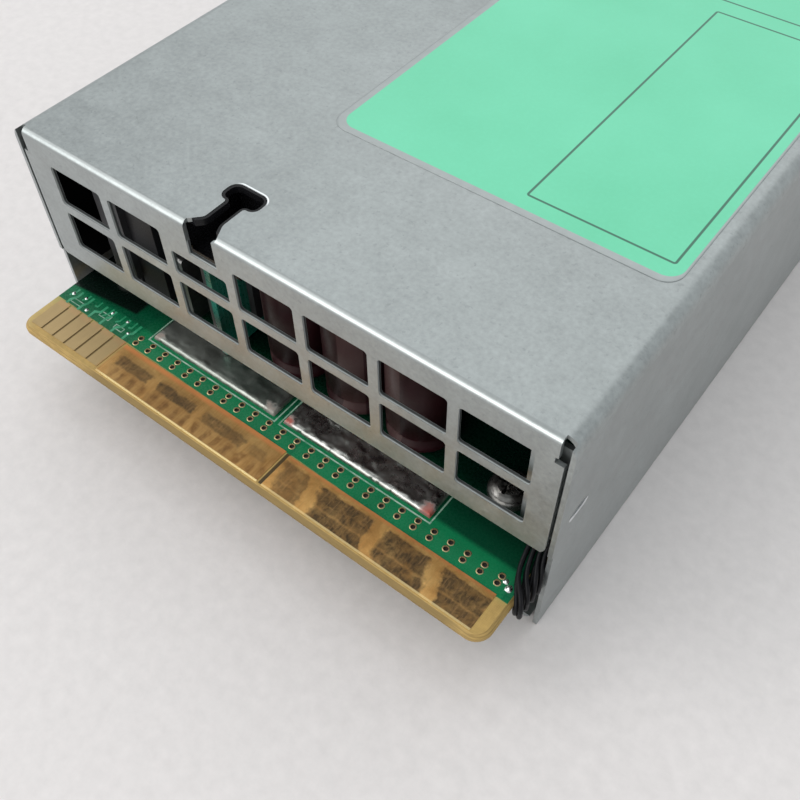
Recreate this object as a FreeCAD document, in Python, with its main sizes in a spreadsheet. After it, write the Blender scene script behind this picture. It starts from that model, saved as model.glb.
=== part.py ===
import FreeCAD, Part
import math
import os
import Sketcher

# Hot swap server power supply, about 86 x 40 x 184 mm over the case.
# Frame: X across the width, Y along the length (card edge at -Y, handle at +Y),
# Z up. Origin at the middle of the case's underside.

V = FreeCAD.Vector
os.makedirs("parts", exist_ok=True)
doc = FreeCAD.newDocument("power_supply")

# ---------------------------------------------------------------- dimensions
sheet = doc.addObject("Spreadsheet::Sheet", "Spec")
DIMS = [
    ("case_w", 86.0, "case width over the side walls"),
    ("case_ht", 40.0, "case height"),
    ("case_len", 184.0, "case length, vent face to handle-end panel"),
    ("gauge", 1.0, "tray sheet thickness"),
    ("cover_gauge", 0.6, "cover sheet thickness"),
    ("bend_side", 2.0, "outside bend radius, top to side"),
    ("bend_front", 0.9, "outside bend radius, top to vent flange"),
    ("flange_hw", 41.95, "half width of the vent flange"),
    ("flange_z", 17.5, "lower edge of the vent flange"),
    ("win_x", -37.0, "left edge of the first vent window"),
    ("win_pitch", 11.018, "vent window pitch"),
    ("win_w", 9.53, "vent window width"),
    ("win_zt", 35.97, "top of the upper window row"),
    ("win_zm", 29.61, "bottom of the upper window row"),
    ("win_zu", 28.14, "top of the lower window row"),
    ("win_zb", 21.76, "bottom of the lower window row"),
    ("win_fillet", 0.5, "vent window corner radius"),
    ("key_zb", 34.9, "bottom of the key notch in the vent flange"),
    ("key_win_zt", 33.5, "top of the short window below the key notch"),
    ("tray_hw", 41.9, "half width of the tray, inside the cover"),
    ("tray_y0", -91.6, "front end of the tray floor"),
    ("lip_ht", 8.0, "height of the tray's side lips"),
    ("board_zt", 12.4, "board top face"),
    ("board_th", 1.6, "board thickness"),
    ("edge_y", -103.25, "front of the card edge"),
    ("edge_bevel", 0.55, "card edge bevel"),
    ("fan_x", -9.3, "fan axis"),
    ("fan_z", 20.0, "fan axis height"),
    ("fan_hw", 18.8, "half width of the fan frame"),
    ("fan_bore", 17.6, "fan frame bore radius"),
    ("fan_y0", 63.0, "inner face of the fan"),
    ("fan_y1", 91.0, "outer face of the fan, on the panel"),
    ("screw_sp", 16.0, "half spacing of the fan screws"),
    ("inlet_x", 26.05, "mains inlet centre"),
    ("inlet_z", 20.0, "mains inlet centre height"),
    ("inlet_w", 27.0, "mains inlet body width"),
    ("inlet_ht", 19.6, "mains inlet body height"),
    ("grip_x", -31.6, "handle centre plane"),
    ("grip_th", 5.4, "handle thickness"),
    ("grip_y", 120.0, "outer end of the handle"),
    ("pivot_x", -39.4, "latch pin axis"),
    ("pivot_y", 50.0, "latch pin axis"),
    ("pin_rad", 1.0, "latch pin radius"),
    ("pin_hole", 1.05, "latch eye bore radius"),
    ("cap_rad", 14.0, "bulk capacitor radius"),
    ("shaft_rad", 1.0, "fan shaft radius"),
    ("shaft_hole", 1.04, "fan bearing bore radius"),
]
P = {}
for i, (alias, value, note) in enumerate(DIMS, start=1):
    sheet.set("A%d" % i, note)
    sheet.set("B%d" % i, str(value))
    sheet.setAlias("B%d" % i, alias)
    P[alias] = value
doc.recompute()

NODES = []


def spec(e):
    """An expression over the sheet's aliases, as the document writes it."""
    out = e
    for a in sorted(P, key=len, reverse=True):
        out = out.replace("@" + a, "Spec." + a)
    return out


def val(e):
    if isinstance(e, (int, float)):
        return float(e)
    out = e
    for a in sorted(P, key=len, reverse=True):
        out = out.replace("@" + a, "(%r)" % P[a])
    return float(arithmetic(out))


def arithmetic(text):
    """Plain arithmetic: + - * / and brackets."""
    pos = [0]
    s = text.replace(" ", "")

    def atom():
        if s[pos[0]] == "(":
            pos[0] += 1
            v = total()
            pos[0] += 1
            return v
        if s[pos[0]] == "-":
            pos[0] += 1
            return -atom()
        k = pos[0]
        while pos[0] < len(s) and (s[pos[0]].isdigit() or s[pos[0]] == "."):
            pos[0] += 1
        return float(s[k:pos[0]])

    def product():
        v = atom()
        while pos[0] < len(s) and s[pos[0]] in "*/":
            op = s[pos[0]]
            pos[0] += 1
            w = atom()
            v = v * w if op == "*" else v / w
        return v

    def total():
        v = product()
        while pos[0] < len(s) and s[pos[0]] in "+-":
            op = s[pos[0]]
            pos[0] += 1
            w = product()
            v = v + w if op == "+" else v - w
        return v

    return total()


def bind(obj, prop, e, scale=1.0):
    """Sets a property from a number, or binds it to the sheet."""
    if isinstance(e, (int, float)):
        target = obj
        path = prop.split(".")
        if len(path) == 1:
            setattr(target, path[0], e)
        else:
            pl = obj.Placement
            b = V(pl.Base)
            setattr(b, path[-1], e)
            obj.Placement = FreeCAD.Placement(b, pl.Rotation)
    else:
        if len(prop.split(".")) > 1:
            pl = obj.Placement
            b = V(pl.Base)
            setattr(b, prop.split(".")[-1], val(e))
            obj.Placement = FreeCAD.Placement(b, pl.Rotation)
        obj.setExpression(prop, spec(e))


count = [0]


def nm(base):
    count[0] += 1
    return "%s_%03d" % (base, count[0])


def box(x0, x1, y0, y1, z0, z1):
    o = doc.addObject("Part::Box", nm("block"))
    for prop, a, b in (("Length", x0, x1), ("Width", y0, y1), ("Height", z0, z1)):
        if isinstance(a, str) or isinstance(b, str):
            bind(o, prop, "(%s)-(%s)" % (b, a))
        else:
            setattr(o, prop, b - a)
    bind(o, "Placement.Base.x", x0)
    bind(o, "Placement.Base.y", y0)
    bind(o, "Placement.Base.z", z0)
    return o


ROT = {
    "Z": FreeCAD.Rotation(),
    "Y": FreeCAD.Rotation(V(1, 0, 0), -90),
    "X": FreeCAD.Rotation(V(0, 1, 0), 90),
}


def cyl(axis, r, x, y, z, length):
    """Cylinder starting at (x, y, z) and running along +axis."""
    o = doc.addObject("Part::Cylinder", nm("round"))
    o.Placement = FreeCAD.Placement(V(val(x), val(y), val(z)), ROT[axis])
    for prop, e in (("Placement.Base.x", x), ("Placement.Base.y", y), ("Placement.Base.z", z)):
        if isinstance(e, str):
            o.setExpression(prop, spec(e))
    bind(o, "Radius", r)
    bind(o, "Height", length)
    return o


def cone(axis, r1, r2, x, y, z, length):
    o = doc.addObject("Part::Cone", nm("taper"))
    o.Placement = FreeCAD.Placement(V(val(x), val(y), val(z)), ROT[axis])
    o.Radius1 = r1
    o.Radius2 = r2
    o.Height = length
    return o


def fuse(*objs):
    if len(objs) == 1:
        return objs[0]
    o = doc.addObject("Part::MultiFuse", nm("joined"))
    o.Shapes = list(objs)
    o.Refine = True
    return o


def cut(base, *tools):
    o = doc.addObject("Part::Cut", nm("cut"))
    o.Base = base
    o.Tool = fuse(*tools) if len(tools) > 1 else tools[0]
    o.Refine = True
    return o


def common(a, b):
    o = doc.addObject("Part::MultiCommon", nm("common"))
    o.Shapes = [a, b]
    return o


def group(*objs):
    o = doc.addObject("Part::Compound", nm("group"))
    o.Links = list(objs)
    return o


def node(obj, label):
    obj.Label = label
    NODES.append((label, obj))
    return obj


def shaped(label_or_none, shape, base="shaped"):
    o = doc.addObject("Part::Feature", nm(base))
    o.Shape = shape
    if label_or_none:
        node(o, label_or_none)
    return o


# ------------------------------------------------- sketches and solid features
def body(label):
    b = doc.addObject("PartDesign::Body", nm("Body"))
    node(b, label)
    return b


def origin_plane(b, role):
    for f in b.Origin.OriginFeatures:
        if f.Role == role:
            return f
    raise RuntimeError(role)


def sketch(b, role, offset=0.0):
    s = b.newObject("Sketcher::SketchObject", nm("Sketch"))
    s.AttachmentSupport = [(origin_plane(b, role), "")]
    s.MapMode = "FlatFace"
    # the XZ plane's normal is -Y
    off = -val(offset) if role == "XZ_Plane" else val(offset)
    s.AttachmentOffset = FreeCAD.Placement(V(0, 0, off), FreeCAD.Rotation())
    if isinstance(offset, str):
        sign = "-" if role == "XZ_Plane" else ""
        s.setExpression("AttachmentOffset.Base.z", "%s(%s)" % (sign, spec(offset)))
    return s


def sk_rect(s, x0, x1, y0, y1):
    """Rectangle held by four distances from the sketch's origin."""
    a, b, c, d = val(x0), val(x1), val(y0), val(y1)
    pts = [(a, c), (b, c), (b, d), (a, d)]
    n = s.GeometryCount
    for i in range(4):
        p, q = pts[i], pts[(i + 1) % 4]
        s.addGeometry(Part.LineSegment(V(p[0], p[1], 0), V(q[0], q[1], 0)), False)
    for i in range(4):
        s.addConstraint(Sketcher.Constraint("Coincident", n + i, 2, n + (i + 1) % 4, 1))
    for i in (0, 2):
        s.addConstraint(Sketcher.Constraint("Horizontal", n + i))
    for i in (1, 3):
        s.addConstraint(Sketcher.Constraint("Vertical", n + i))
    for kind, gi, pi, num, e in (
        ("DistanceX", n, 1, a, x0),
        ("DistanceX", n + 2, 1, b, x1),
        ("DistanceY", n, 1, c, y0),
        ("DistanceY", n + 2, 1, d, y1),
    ):
        k = s.addConstraint(Sketcher.Constraint(kind, -1, 1, gi, pi, num))
        if isinstance(e, str):
            s.setExpression("Constraints[%d]" % k, spec(e))


def sk_circle(s, x, y, r):
    n = s.addGeometry(Part.Circle(V(val(x), val(y), 0), V(0, 0, 1), val(r)), False)
    for kind, num, e in (("DistanceX", val(x), x), ("DistanceY", val(y), y)):
        k = s.addConstraint(Sketcher.Constraint(kind, -1, 1, n, 3, num))
        if isinstance(e, str):
            s.setExpression("Constraints[%d]" % k, spec(e))
    k = s.addConstraint(Sketcher.Constraint("Radius", n, val(r)))
    if isinstance(r, str):
        s.setExpression("Constraints[%d]" % k, spec(r))


def rounded(points):
    """Closed outline: (x, y, r) corners, each r a tangent arc."""
    n = len(points)
    segs = []
    ends = []
    for i in range(n):
        p0, p, p1 = points[i - 1], points[i], points[(i + 1) % n]
        a, b, c = V(p0[0], p0[1], 0), V(p[0], p[1], 0), V(p1[0], p1[1], 0)
        r = p[2] if len(p) > 2 else 0
        if r <= 0:
            ends.append((b, b, None))
            continue
        u, w = (a - b).normalize(), (c - b).normalize()
        ang = math.acos(max(-1, min(1, u.dot(w))))
        d = r / math.tan(ang / 2)
        t0, t1 = b + u * d, b + w * d
        bis = (u + w).normalize()
        ctr = b + bis * (r / math.sin(ang / 2))
        mid = ctr - bis * r
        ends.append((t0, t1, mid))
    for i in range(n):
        t0, t1, mid = ends[i]
        if mid is not None:
            segs.append(Part.Arc(t0, mid, t1))
        nxt = ends[(i + 1) % n][0]
        if (nxt - t1).Length > 1e-6:
            segs.append(Part.LineSegment(t1, nxt))
    return segs


def sk_outline(s, points):
    segs = rounded(points)
    n = s.GeometryCount
    s.addGeometry([g if isinstance(g, Part.LineSegment) else g for g in segs], False)
    for i in range(len(segs)):
        s.addConstraint(Sketcher.Constraint("Block", n + i))


def wire_of(points):
    return Part.Wire(Part.__sortEdges__([g.toShape() for g in rounded(points)]))


def prism(points, axis, at, length):
    """Solid of an outline: axis Z in XY, Y in XZ, X in YZ."""
    w = wire_of(points)
    f = Part.Face(w)
    if axis == "Z":
        f.translate(V(0, 0, at))
        return f.extrude(V(0, 0, length))
    if axis == "Y":
        m = FreeCAD.Matrix(1, 0, 0, 0, 0, 0, -1, 0, 0, 1, 0, 0, 0, 0, 0, 1)
        f = f.transformGeometry(m)
        f.translate(V(0, at, 0))
        return f.extrude(V(0, length, 0))
    m = FreeCAD.Matrix(0, 0, 1, 0, 1, 0, 0, 0, 0, 1, 0, 0, 0, 0, 0, 1)
    f = f.transformGeometry(m)
    f.translate(V(at, 0, 0))
    return f.extrude(V(length, 0, 0))


def pad(b, s, length, rev=False, mid=False):
    p = b.newObject("PartDesign::Pad", nm("Pad"))
    p.Profile = s
    bind(p, "Length", length)
    p.Reversed = rev
    p.Midplane = mid
    doc.recompute()
    return p


def pocket(b, s, length, rev=False, mid=False):
    before = b.Shape.Volume
    p = b.newObject("PartDesign::Pocket", nm("Pocket"))
    p.Profile = s
    bind(p, "Length", length)
    p.Reversed = rev
    p.Midplane = mid
    doc.recompute()
    if not b.Shape.Volume < before - 1e-6:
        raise RuntimeError("pocket cut nothing: " + b.Label)
    if not b.Shape.isValid():
        raise RuntimeError("pocket left a bad shape: " + b.Label + p.Name)
    return p


def linear(b, feats, s, length, n, axis="H_Axis"):
    before = b.Shape.Volume
    p = b.newObject("PartDesign::LinearPattern", nm("Pattern"))
    p.Originals = feats
    p.Direction = (s, [axis])
    bind(p, "Length", length)
    p.Occurrences = n
    b.Tip = p
    doc.recompute()
    if abs(b.Shape.Volume - before) < 1e-6:
        raise RuntimeError("pattern did nothing: " + b.Label)
    return p


def edges_where(shape, test):
    out = []
    for i, e in enumerate(shape.Edges, start=1):
        vs = [v.Point for v in e.Vertexes]
        if len(vs) >= 1 and test(e, vs):
            out.append("Edge%d" % i)
    return out


def fillet(b, r, test, kind="PartDesign::Fillet"):
    tip = b.Tip
    names = edges_where(tip.Shape, test)
    if not names:
        raise RuntimeError("no edges to round: " + b.Label)
    f = b.newObject(kind, nm("Fillet" if kind.endswith("Fillet") else "Chamfer"))
    f.Base = (tip, names)
    bind(f, "Radius" if kind.endswith("Fillet") else "Size", r)
    doc.recompute()
    if "Invalid" in f.State or f.Shape.isNull():
        raise RuntimeError("fillet failed: " + b.Label)
    print(b.Label, f.Name, "edges", len(names), "valid", f.Shape.isValid())
    if "Invalid" in f.State or "Error" in f.State or f.Shape.isNull():
        raise RuntimeError("fillet failed: " + b.Label)
    return f


def along(axis, **at):
    """Straight edges along an axis, at the coordinates given."""

    def test(e, vs):
        if len(vs) != 2:
            return False
        d = vs[1] - vs[0]
        if not isinstance(e.Curve, Part.Line):
            return False
        comp = {"x": abs(d.x), "y": abs(d.y), "z": abs(d.z)}
        if comp[axis] < 1e-6 or any(comp[k] > 1e-6 for k in comp if k != axis):
            return False
        for k, want in at.items():
            if callable(want):
                if not all(want(getattr(v, k)) for v in vs):
                    return False
            else:
                wants = want if isinstance(want, (list, tuple)) else [want]
                if not any(all(abs(getattr(v, k) - w) < 1e-4 for v in vs) for w in wants):
                    return False
        return True

    return test


def tube_path(points):
    """Straight runs joined by tangent arcs, each as large as its runs allow."""
    pts = [V(*p) for p in points]
    edges = []
    radii = []
    cur = pts[0]
    total = 0.0
    for i in range(1, len(pts) - 1):
        a, b, c = pts[i - 1], pts[i], pts[i + 1]
        u, w = (a - b), (c - b)
        lu, lw = u.Length, w.Length
        u, w = u.normalize(), w.normalize()
        ang = math.acos(max(-1, min(1, u.dot(w))))
        turn = math.pi - ang
        d = 0.45 * min(lu, lw)
        r = d / math.tan(turn / 2)
        radii.append(r)
        t0, t1 = b + u * d, b + w * d
        bis = (u + w).normalize()
        ctr = b + bis * (r / math.cos(turn / 2))
        mid = ctr - bis * r
        edges.append(Part.LineSegment(cur, t0).toShape())
        edges.append(Part.Arc(t0, mid, t1).toShape())
        total += (t0 - cur).Length + r * turn
        cur = t1
    edges.append(Part.LineSegment(cur, pts[-1]).toShape())
    total += (pts[-1] - cur).Length
    return Part.Wire(edges), total, radii


def tube(points, r, name=""):
    w, total, radii = tube_path(points)
    start = V(*points[0])
    d = (V(*points[1]) - start).normalize()
    ring = Part.Wire([Part.Circle(start, d, r).toShape()])
    s = w.makePipeShell([ring], True, False)
    want = math.pi * r * r * total
    if abs(s.Volume - want) > 0.01 * want:
        raise RuntimeError("tube volume %s %.3f %.3f" % (name, s.Volume, want))
    print("route", name, "length %.1f" % total, "radii", ["%.1f" % q for q in radii])
    return s


def ring_solid(axis, ro, ri, x, y, z, length):
    return cut(cyl(axis, ro, x, y, z, length), cyl(axis, ri, x, y, z, length))


# =================================================================== casing
# Cover: one folded sheet, top, two full-height sides and the vent flange.
cover = body("top_cover")
s = sketch(cover, "XZ_Plane", "@case_len/2")
hw, ht, g = P["case_w"] / 2, P["case_ht"], P["cover_gauge"]
fr, bk = -P["case_len"] / 2, P["case_len"] / 2
sk_rect(s, "0-@case_w/2", "@case_w/2", 0, "@case_ht")
pad(cover, s, "@case_len")
s = sketch(cover, "XZ_Plane", "@case_len/2+1")
sk_rect(s, "0-(@case_w/2-@cover_gauge)", "@case_w/2-@cover_gauge", -1, "@case_ht-@cover_gauge")
pocket(cover, s, "@case_len+2", rev=True)
fillet(cover, "@bend_side", along("y", x=[-hw, hw], z=ht))
fillet(cover, "@bend_side-@cover_gauge", along("y", x=[-hw + g, hw - g], z=ht - g))
# vent flange
s = sketch(cover, "XZ_Plane", "0-@case_len/2")
sk_rect(s, "0-@flange_hw", "@flange_hw", "@flange_z", "@case_ht-@cover_gauge/2")
pad(cover, s, "@cover_gauge", rev=True)
# corner reliefs
s = sketch(cover, "XZ_Plane", "0-@case_len/2-1")
for sgn in (-1, 1):
    xs = sorted((sgn * 41.15, sgn * 42.4))
    sk_rect(s, xs[0], xs[1], 36.5, 41)
pocket(cover, s, "@cover_gauge+1.45")
s = sketch(cover, "XZ_Plane", "0-@case_len/2-1")
sk_rect(s, 40.8, 42.4, 36.1, 37.0)
pocket(cover, s, "@cover_gauge+1")
# return tab of the right wall, behind the flange
s = sketch(cover, "XZ_Plane", "0-@case_len/2+1.6")
sk_rect(s, 37.4, 42.6, 19.2, 37.2)
pad(cover, s, "@cover_gauge", rev=True)
# bend between the top and the flange
fillet(cover, "@bend_front", along("x", y=fr, z=ht, x=lambda v: abs(v) < 41.2))
fillet(cover, 0.15, along("x", y=fr + g, z=ht - g, x=lambda v: abs(v) < 42))
# vent windows
s = sketch(cover, "XZ_Plane", "0-@case_len/2-1")
sk_rect(s, "@win_x", "@win_x+@win_w", "@win_zb", "@win_zu")
w1 = pocket(cover, s, "@cover_gauge+1")
linear(cover, [w1], s, "@win_pitch*6", 7)
s = sketch(cover, "XZ_Plane", "0-@case_len/2-1")
sk_rect(s, "@win_x", "@win_x+@win_w", "@win_zm", "@win_zt")
sk_rect(s, "@win_x+@win_pitch", "@win_x+@win_pitch+@win_w", "@win_zm", "@win_zt")
sk_rect(s, "@win_x+@win_pitch*2", "@win_x+@win_pitch*2+@win_w", "@win_zm", "@key_win_zt")
for k in (3, 4, 5, 6):
    sk_rect(s, "@win_x+@win_pitch*%d" % k, "@win_x+@win_pitch*%d+@win_w" % k, "@win_zm", "@win_zt")
pocket(cover, s, "@cover_gauge+1")
fillet(
    cover,
    "@win_fillet",
    along("y", y=lambda v: v < fr + g + 0.01, x=lambda v: abs(v) < 39.5, z=lambda v: 20 < v < 36.2),
)
fillet(cover, 2.2, along("y", x=[-P["flange_hw"], P["flange_hw"]], z=P["flange_z"]))
# key slot: notch down the flange, funnel, stem and cross bar in the top
s = sketch(cover, "XZ_Plane", "0-@case_len/2-1")
sk_rect(s, -11.3, -6.6, "@key_zb", 41)
pocket(cover, s, "@cover_gauge+1.3")
KEY_SLOT = [
    (-11.3, -92.5, 0),
    (-11.3, -91.2, 0.5),
    (-9.8, -89.6, 1.0),
    (-9.8, -85.9, 0.35),
    (-11.3, -85.9, 1.2),
    (-11.3, -82.57, 1.5),
    (-5.3, -82.57, 1.5),
    (-5.3, -85.9, 1.2),
    (-6.9, -85.9, 0.35),
    (-6.9, -89.5, 1.6),
    (-5.9, -91.6, 0.4),
    (-6.6, -92.5, 0),
]
s = sketch(cover, "XY_Plane", "@case_ht+0.5")
sk_outline(s, KEY_SLOT)
pocket(cover, s, "@cover_gauge+0.6")
# small lanced slot in the right wall, near the vent end
s = sketch(cover, "YZ_Plane", "@case_w/2-1.5")
sk_outline(s, [(-89.7, 23.85, 0), (-87.55, 22.85, 3.5), (-85.4, 23.85, 0), (-87.55, 24.85, 3.5)])
pocket(cover, s, 3.0, rev=True)
# side walls step back a little below the flange
s = sketch(cover, "YZ_Plane", 0)
sk_rect(s, -93.0, -91.65, -1, 18.2)
pocket(cover, s, "@case_w+2", mid=True)
# window for the latch tooth, in the left wall only
s = sketch(cover, "YZ_Plane", "0-@case_w/2-1")
sk_rect(s, 76.6, 89.6, 13.9, 26.1)
pocket(cover, s, 3.0, rev=True)
fillet(
    cover,
    0.8,
    along("x", y=[76.6, 89.6], z=[13.9, 26.1], x=lambda v: v < 0),
)
# countersunk holes for the cover screws
SIDE_SCREWS = [20.0, 84.0]
s = sketch(cover, "YZ_Plane", 0)
for y in SIDE_SCREWS:
    sk_circle(s, y, 4.5, 2.02)
pocket(cover, s, "@case_w+2", mid=True)
fillet(
    cover,
    0.55,
    lambda e, vs: isinstance(e.Curve, Part.Circle)
    and abs(abs(vs[0].x) - hw) < 1e-4
    and abs(e.Curve.Radius - 2.02) < 1e-3,
    kind="PartDesign::Chamfer",
)

# Tray: floor, side lips and the handle-end panel, folded from one sheet.
tray = body("base_tray")
s = sketch(tray, "XZ_Plane", "@case_len/2")
sk_outline(
    s,
    [
        (-41.9, 0, 1.4),
        (41.9, 0, 1.4),
        (41.9, 8, 0),
        (40.9, 8, 0),
        (40.9, 1, 0.5),
        (-40.9, 1, 0.5),
        (-40.9, 8, 0),
        (-41.9, 8, 0),
    ],
)
pad(tray, s, "@case_len/2-@tray_y0")
s = sketch(tray, "XZ_Plane", "@case_len/2")
sk_rect(s, "0-@tray_hw", "@tray_hw", 0.5, "@case_ht-@gauge-0.1")
pad(tray, s, "@gauge")
fillet(tray, 1.2, along("y", x=[-41.9, 41.9], z=38.9))
# lips stop short of the panel and of the vent end
s = sketch(tray, "YZ_Plane", 0)
sk_rect(s, 89.5, 91.0, 1.0, 9)
sk_rect(s, -93.0, -84.5, 1.0, 9)
pocket(tray, s, "@case_w+2", mid=True)
# openings in the panel: inlet, handle screws, latch, light pipes, fan screws
s = sketch(tray, "XZ_Plane", "@case_len/2+1")
sk_rect(s, "@inlet_x-@inlet_w/2-0.1", "@inlet_x+@inlet_w/2+0.1", "@inlet_z-@inlet_ht/2-0.1", "@inlet_z+@inlet_ht/2+0.1")
pocket(tray, s, "@gauge+1", rev=True)
s = sketch(tray, "XZ_Plane", "@case_len/2+1")
for z in (6.0, 34.0):
    sk_circle(s, "@grip_x", z, 1.5)
for x in (22.05, 30.05):
    sk_circle(s, x, 35.3, 1.15)
for sx in (-1, 1):
    for sz in (-1, 1):
        sk_circle(s, P["fan_x"] + sx * P["screw_sp"], P["fan_z"] + sz * P["screw_sp"], 1.6)
pocket(tray, s, "@gauge+1", rev=True)
s = sketch(tray, "XZ_Plane", "@case_len/2+1")
sk_rect(s, -43.0, -37.0, 12.9, 27.1)
pocket(tray, s, "@gauge+1", rev=True)
# swaged feet of the standoffs, seen as shallow rings in the underside
s = sketch(tray, "XY_Plane", -1.0)
for x, y in ((32.5, -84.0), (-35.5, -86.0), (-37.5, -6.0), (36.0, 50.0)):
    sk_circle(s, x, y, 2.7)
    sk_circle(s, x, y, 2.4)
for x, y in ((-32.9, 47.8), (-32.9, 52.2), (26.35, 49.6)):
    sk_circle(s, x, y, 1.9)
    sk_circle(s, x, y, 1.6)
pocket(tray, s, 1.18, rev=True)
# threaded holes for the cover screws
s = sketch(tray, "YZ_Plane", 0)
for y in SIDE_SCREWS:
    sk_circle(s, y, 4.5, 1.45)
pocket(tray, s, "@case_w+2", mid=True)
# honeycomb grille in front of the fan
s = sketch(tray, "XZ_Plane", "@case_len/2+1")
AF, PITCH = 4.3, 5.0
hexes = []
for row in range(-4, 5):
    for col in range(-4, 5):
        hx = col * PITCH + (PITCH / 2 if row % 2 else 0)
        hz = row * PITCH * math.sqrt(3) / 2
        if math.hypot(hx, hz) < 15.6:
            hexes.append((hx, hz))
for hx, hz in hexes:
    n = s.GeometryCount
    rad = AF / math.sqrt(3)
    pts = [
        V(P["fan_x"] + hx + rad * math.sin(math.radians(60 * k)), P["fan_z"] + hz + rad * math.cos(math.radians(60 * k)), 0)
        for k in range(6)
    ]
    s.addGeometry([Part.LineSegment(pts[k], pts[(k + 1) % 6]) for k in range(6)], False)
pocket(tray, s, "@gauge+1", rev=True)

# Rating label and its clear border, a skin on the cover.
label = body("rating_label")
s = sketch(label, "XY_Plane", "@case_ht")
sk_rect(s, -9.8, 40.2, -66.9, 47.0)
pad(label, s, 0.12)
fillet(label, 2.2, along("z", x=[-9.8, 40.2], y=[-66.9, 47.0]))

# Moulded pocket behind the key slot.
slot_face = Part.Face(wire_of(KEY_SLOT))
lip_out = slot_face.makeOffset2D(-0.05)
lip_in = slot_face.makeOffset2D(-0.42)
lip_out.translate(V(0, 0, 38.99))
lip_in.translate(V(0, 0, 38.5))
lip = shaped(None, lip_out.extrude(V(0, 0, 0.93)), "slot lip")
lip_bore = shaped(None, lip_in.extrude(V(0, 0, 2.0)), "slot bore")
guard = cut(
    fuse(
        cut(
            box(-12.8, -4.0, -90.75, -81.2, 33.6, 39.35),
            box(-12.0, -4.8, -92.5, -82.0, 34.4, 38.99),
        ),
        cut(lip, box(-14.0, -3.0, -94.0, -90.75, 38.0, 41.0)),
    ),
    lip_bore,
)
node(guard, "key_slot_guard")

# Insulating film: on the tray floor and on both walls.
film = cut(
    box(-40.4, 40.4, -88.0, 60.0, 1.0, 1.35),
    *[cyl("Z", 3.6, x, y, 0.5, 2) for x, y in ((32.5, -84.0), (-35.5, -86.0), (-37.5, -6.0), (36.0, 50.0))],
    cyl("Z", 3.6, 26.35, 49.6, 0.5, 2),
    box(-41, -30.5, 42.0, 58.0, 0.5, 2)
)
node(
    group(film, box(-42.3, -42.0, -89.0, 36.0, 13.0, 36.5), box(42.0, 42.3, -89.0, 36.0, 13.0, 36.5)),
    "bottom_insulator",
)

# Cover screws: countersunk M3.
scr = []
for sgn in (-1, 1):
    for y in SIDE_SCREWS:
        if sgn > 0:
            head = cone("X", 1.5, 2.5, 42.0, y, 4.5, 0.95)
            shank = cyl("X", 1.44, 38.6, y, 4.5, 3.6)
            slot1 = box(42.45, 43.5, y - 1.3, y + 1.3, 4.25, 4.75)
            slot2 = box(42.45, 43.5, y - 0.25, y + 0.25, 3.2, 5.8)
        else:
            head = cone("X", 2.5, 1.5, -42.95, y, 4.5, 0.95)
            shank = cyl("X", 1.44, -42.2, y, 4.5, 3.6)
            slot1 = box(-43.5, -42.45, y - 1.3, y + 1.3, 4.25, 4.75)
            slot2 = box(-43.5, -42.45, y - 0.25, y + 0.25, 3.2, 5.8)
        scr.append(cut(fuse(head, shank), slot1, slot2))
node(group(*scr), "cover_screws")

# ==================================================================== boards
# Main board with its card edge.
bt, bz = P["board_zt"], P["board_zt"] - P["board_th"]
board = body("main_board")
s = sketch(board, "XY_Plane", "@board_zt-@board_th")
sk_outline(
    s,
    [
        (-41.6, -103.25, 2.4),
        (41.4, -103.25, 2.4),
        (41.4, 72.0, 1.0),
        (12.6, 72.0, 1.0),
        (12.6, 54.5, 1.0),
        (29.2, 54.5, 1.0),
        (29.2, 2.4, 1.0),
        (-41.6, 2.4, 1.0),
    ],
)
pad(board, s, "@board_th")
fillet(
    board,
    "@edge_bevel",
    along("x", y=P["edge_y"], z=[bt, bz]),
    kind="PartDesign::Chamfer",
)
s = sketch(board, "XY_Plane", "@board_zt+1")
BOARD_SCREWS = [(32.5, -84.0), (-35.5, -86.0), (-37.5, -6.0), (36.0, 50.0)]
for x, y in BOARD_SCREWS:
    sk_circle(s, x, y, 1.6)
# plated through holes behind the contacts, in pairs
for k in range(26):
    x = 38.37 - 2.52 * k
    sk_circle(s, x, -94.42, 0.34)
    sk_circle(s, x, -95.5, 0.34)
pocket(board, s, "@board_th+1")

# Contacts: plated copper, both faces.
TOP_PADS = [(-25.45, 5.6, -102.5, -96.55), (6.4, 39.2, -102.5, -96.85)]
pads = []
for x0, x1, y0, y1 in TOP_PADS:
    pads.append(box(x0, x1, y0, y1, "@board_zt", "@board_zt+0.07"))
    pads.append(box(x0, x1, y0, y1, "@board_zt-@board_th-0.07", "@board_zt-@board_th"))
node(group(*pads), "power_contacts")
fingers = []
for k in range(6):
    x0 = -40.1 + 2.44 * k
    for z0, z1 in (("@board_zt", "@board_zt+0.07"), ("@board_zt-@board_th-0.07", "@board_zt-@board_th")):
        fingers.append(box(x0, x0 + 2.12, -101.95, -96.3, z0, z1))
node(group(*fingers), "signal_contacts")

# Tinned copper strips soldered across the board, under the vent flange.
strips = []
for x0, x1 in ((-23.1, 0.4), (2.1, 26.7)):
    sh = prism([(x0, -93.3, 0.9), (x1, -93.3, 0.9), (x1, -88.6, 0.9), (x0, -88.6, 0.9)], "Z", bt, 0.8)
    o = shaped(None, sh, "strip")
    strips.append(o)
node(group(*strips), "bus_strips")

# Standoffs and pan-head screws.
node(
    group(*[
        cut(cyl("Z", 2.85, x, y, 1.0, "@board_zt-@board_th-1"), cyl("Z", 1.3, x, y, 1.0, "@board_zt-@board_th-1"))
        for x, y in BOARD_SCREWS
    ]),
    "board_standoffs",
)


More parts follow.
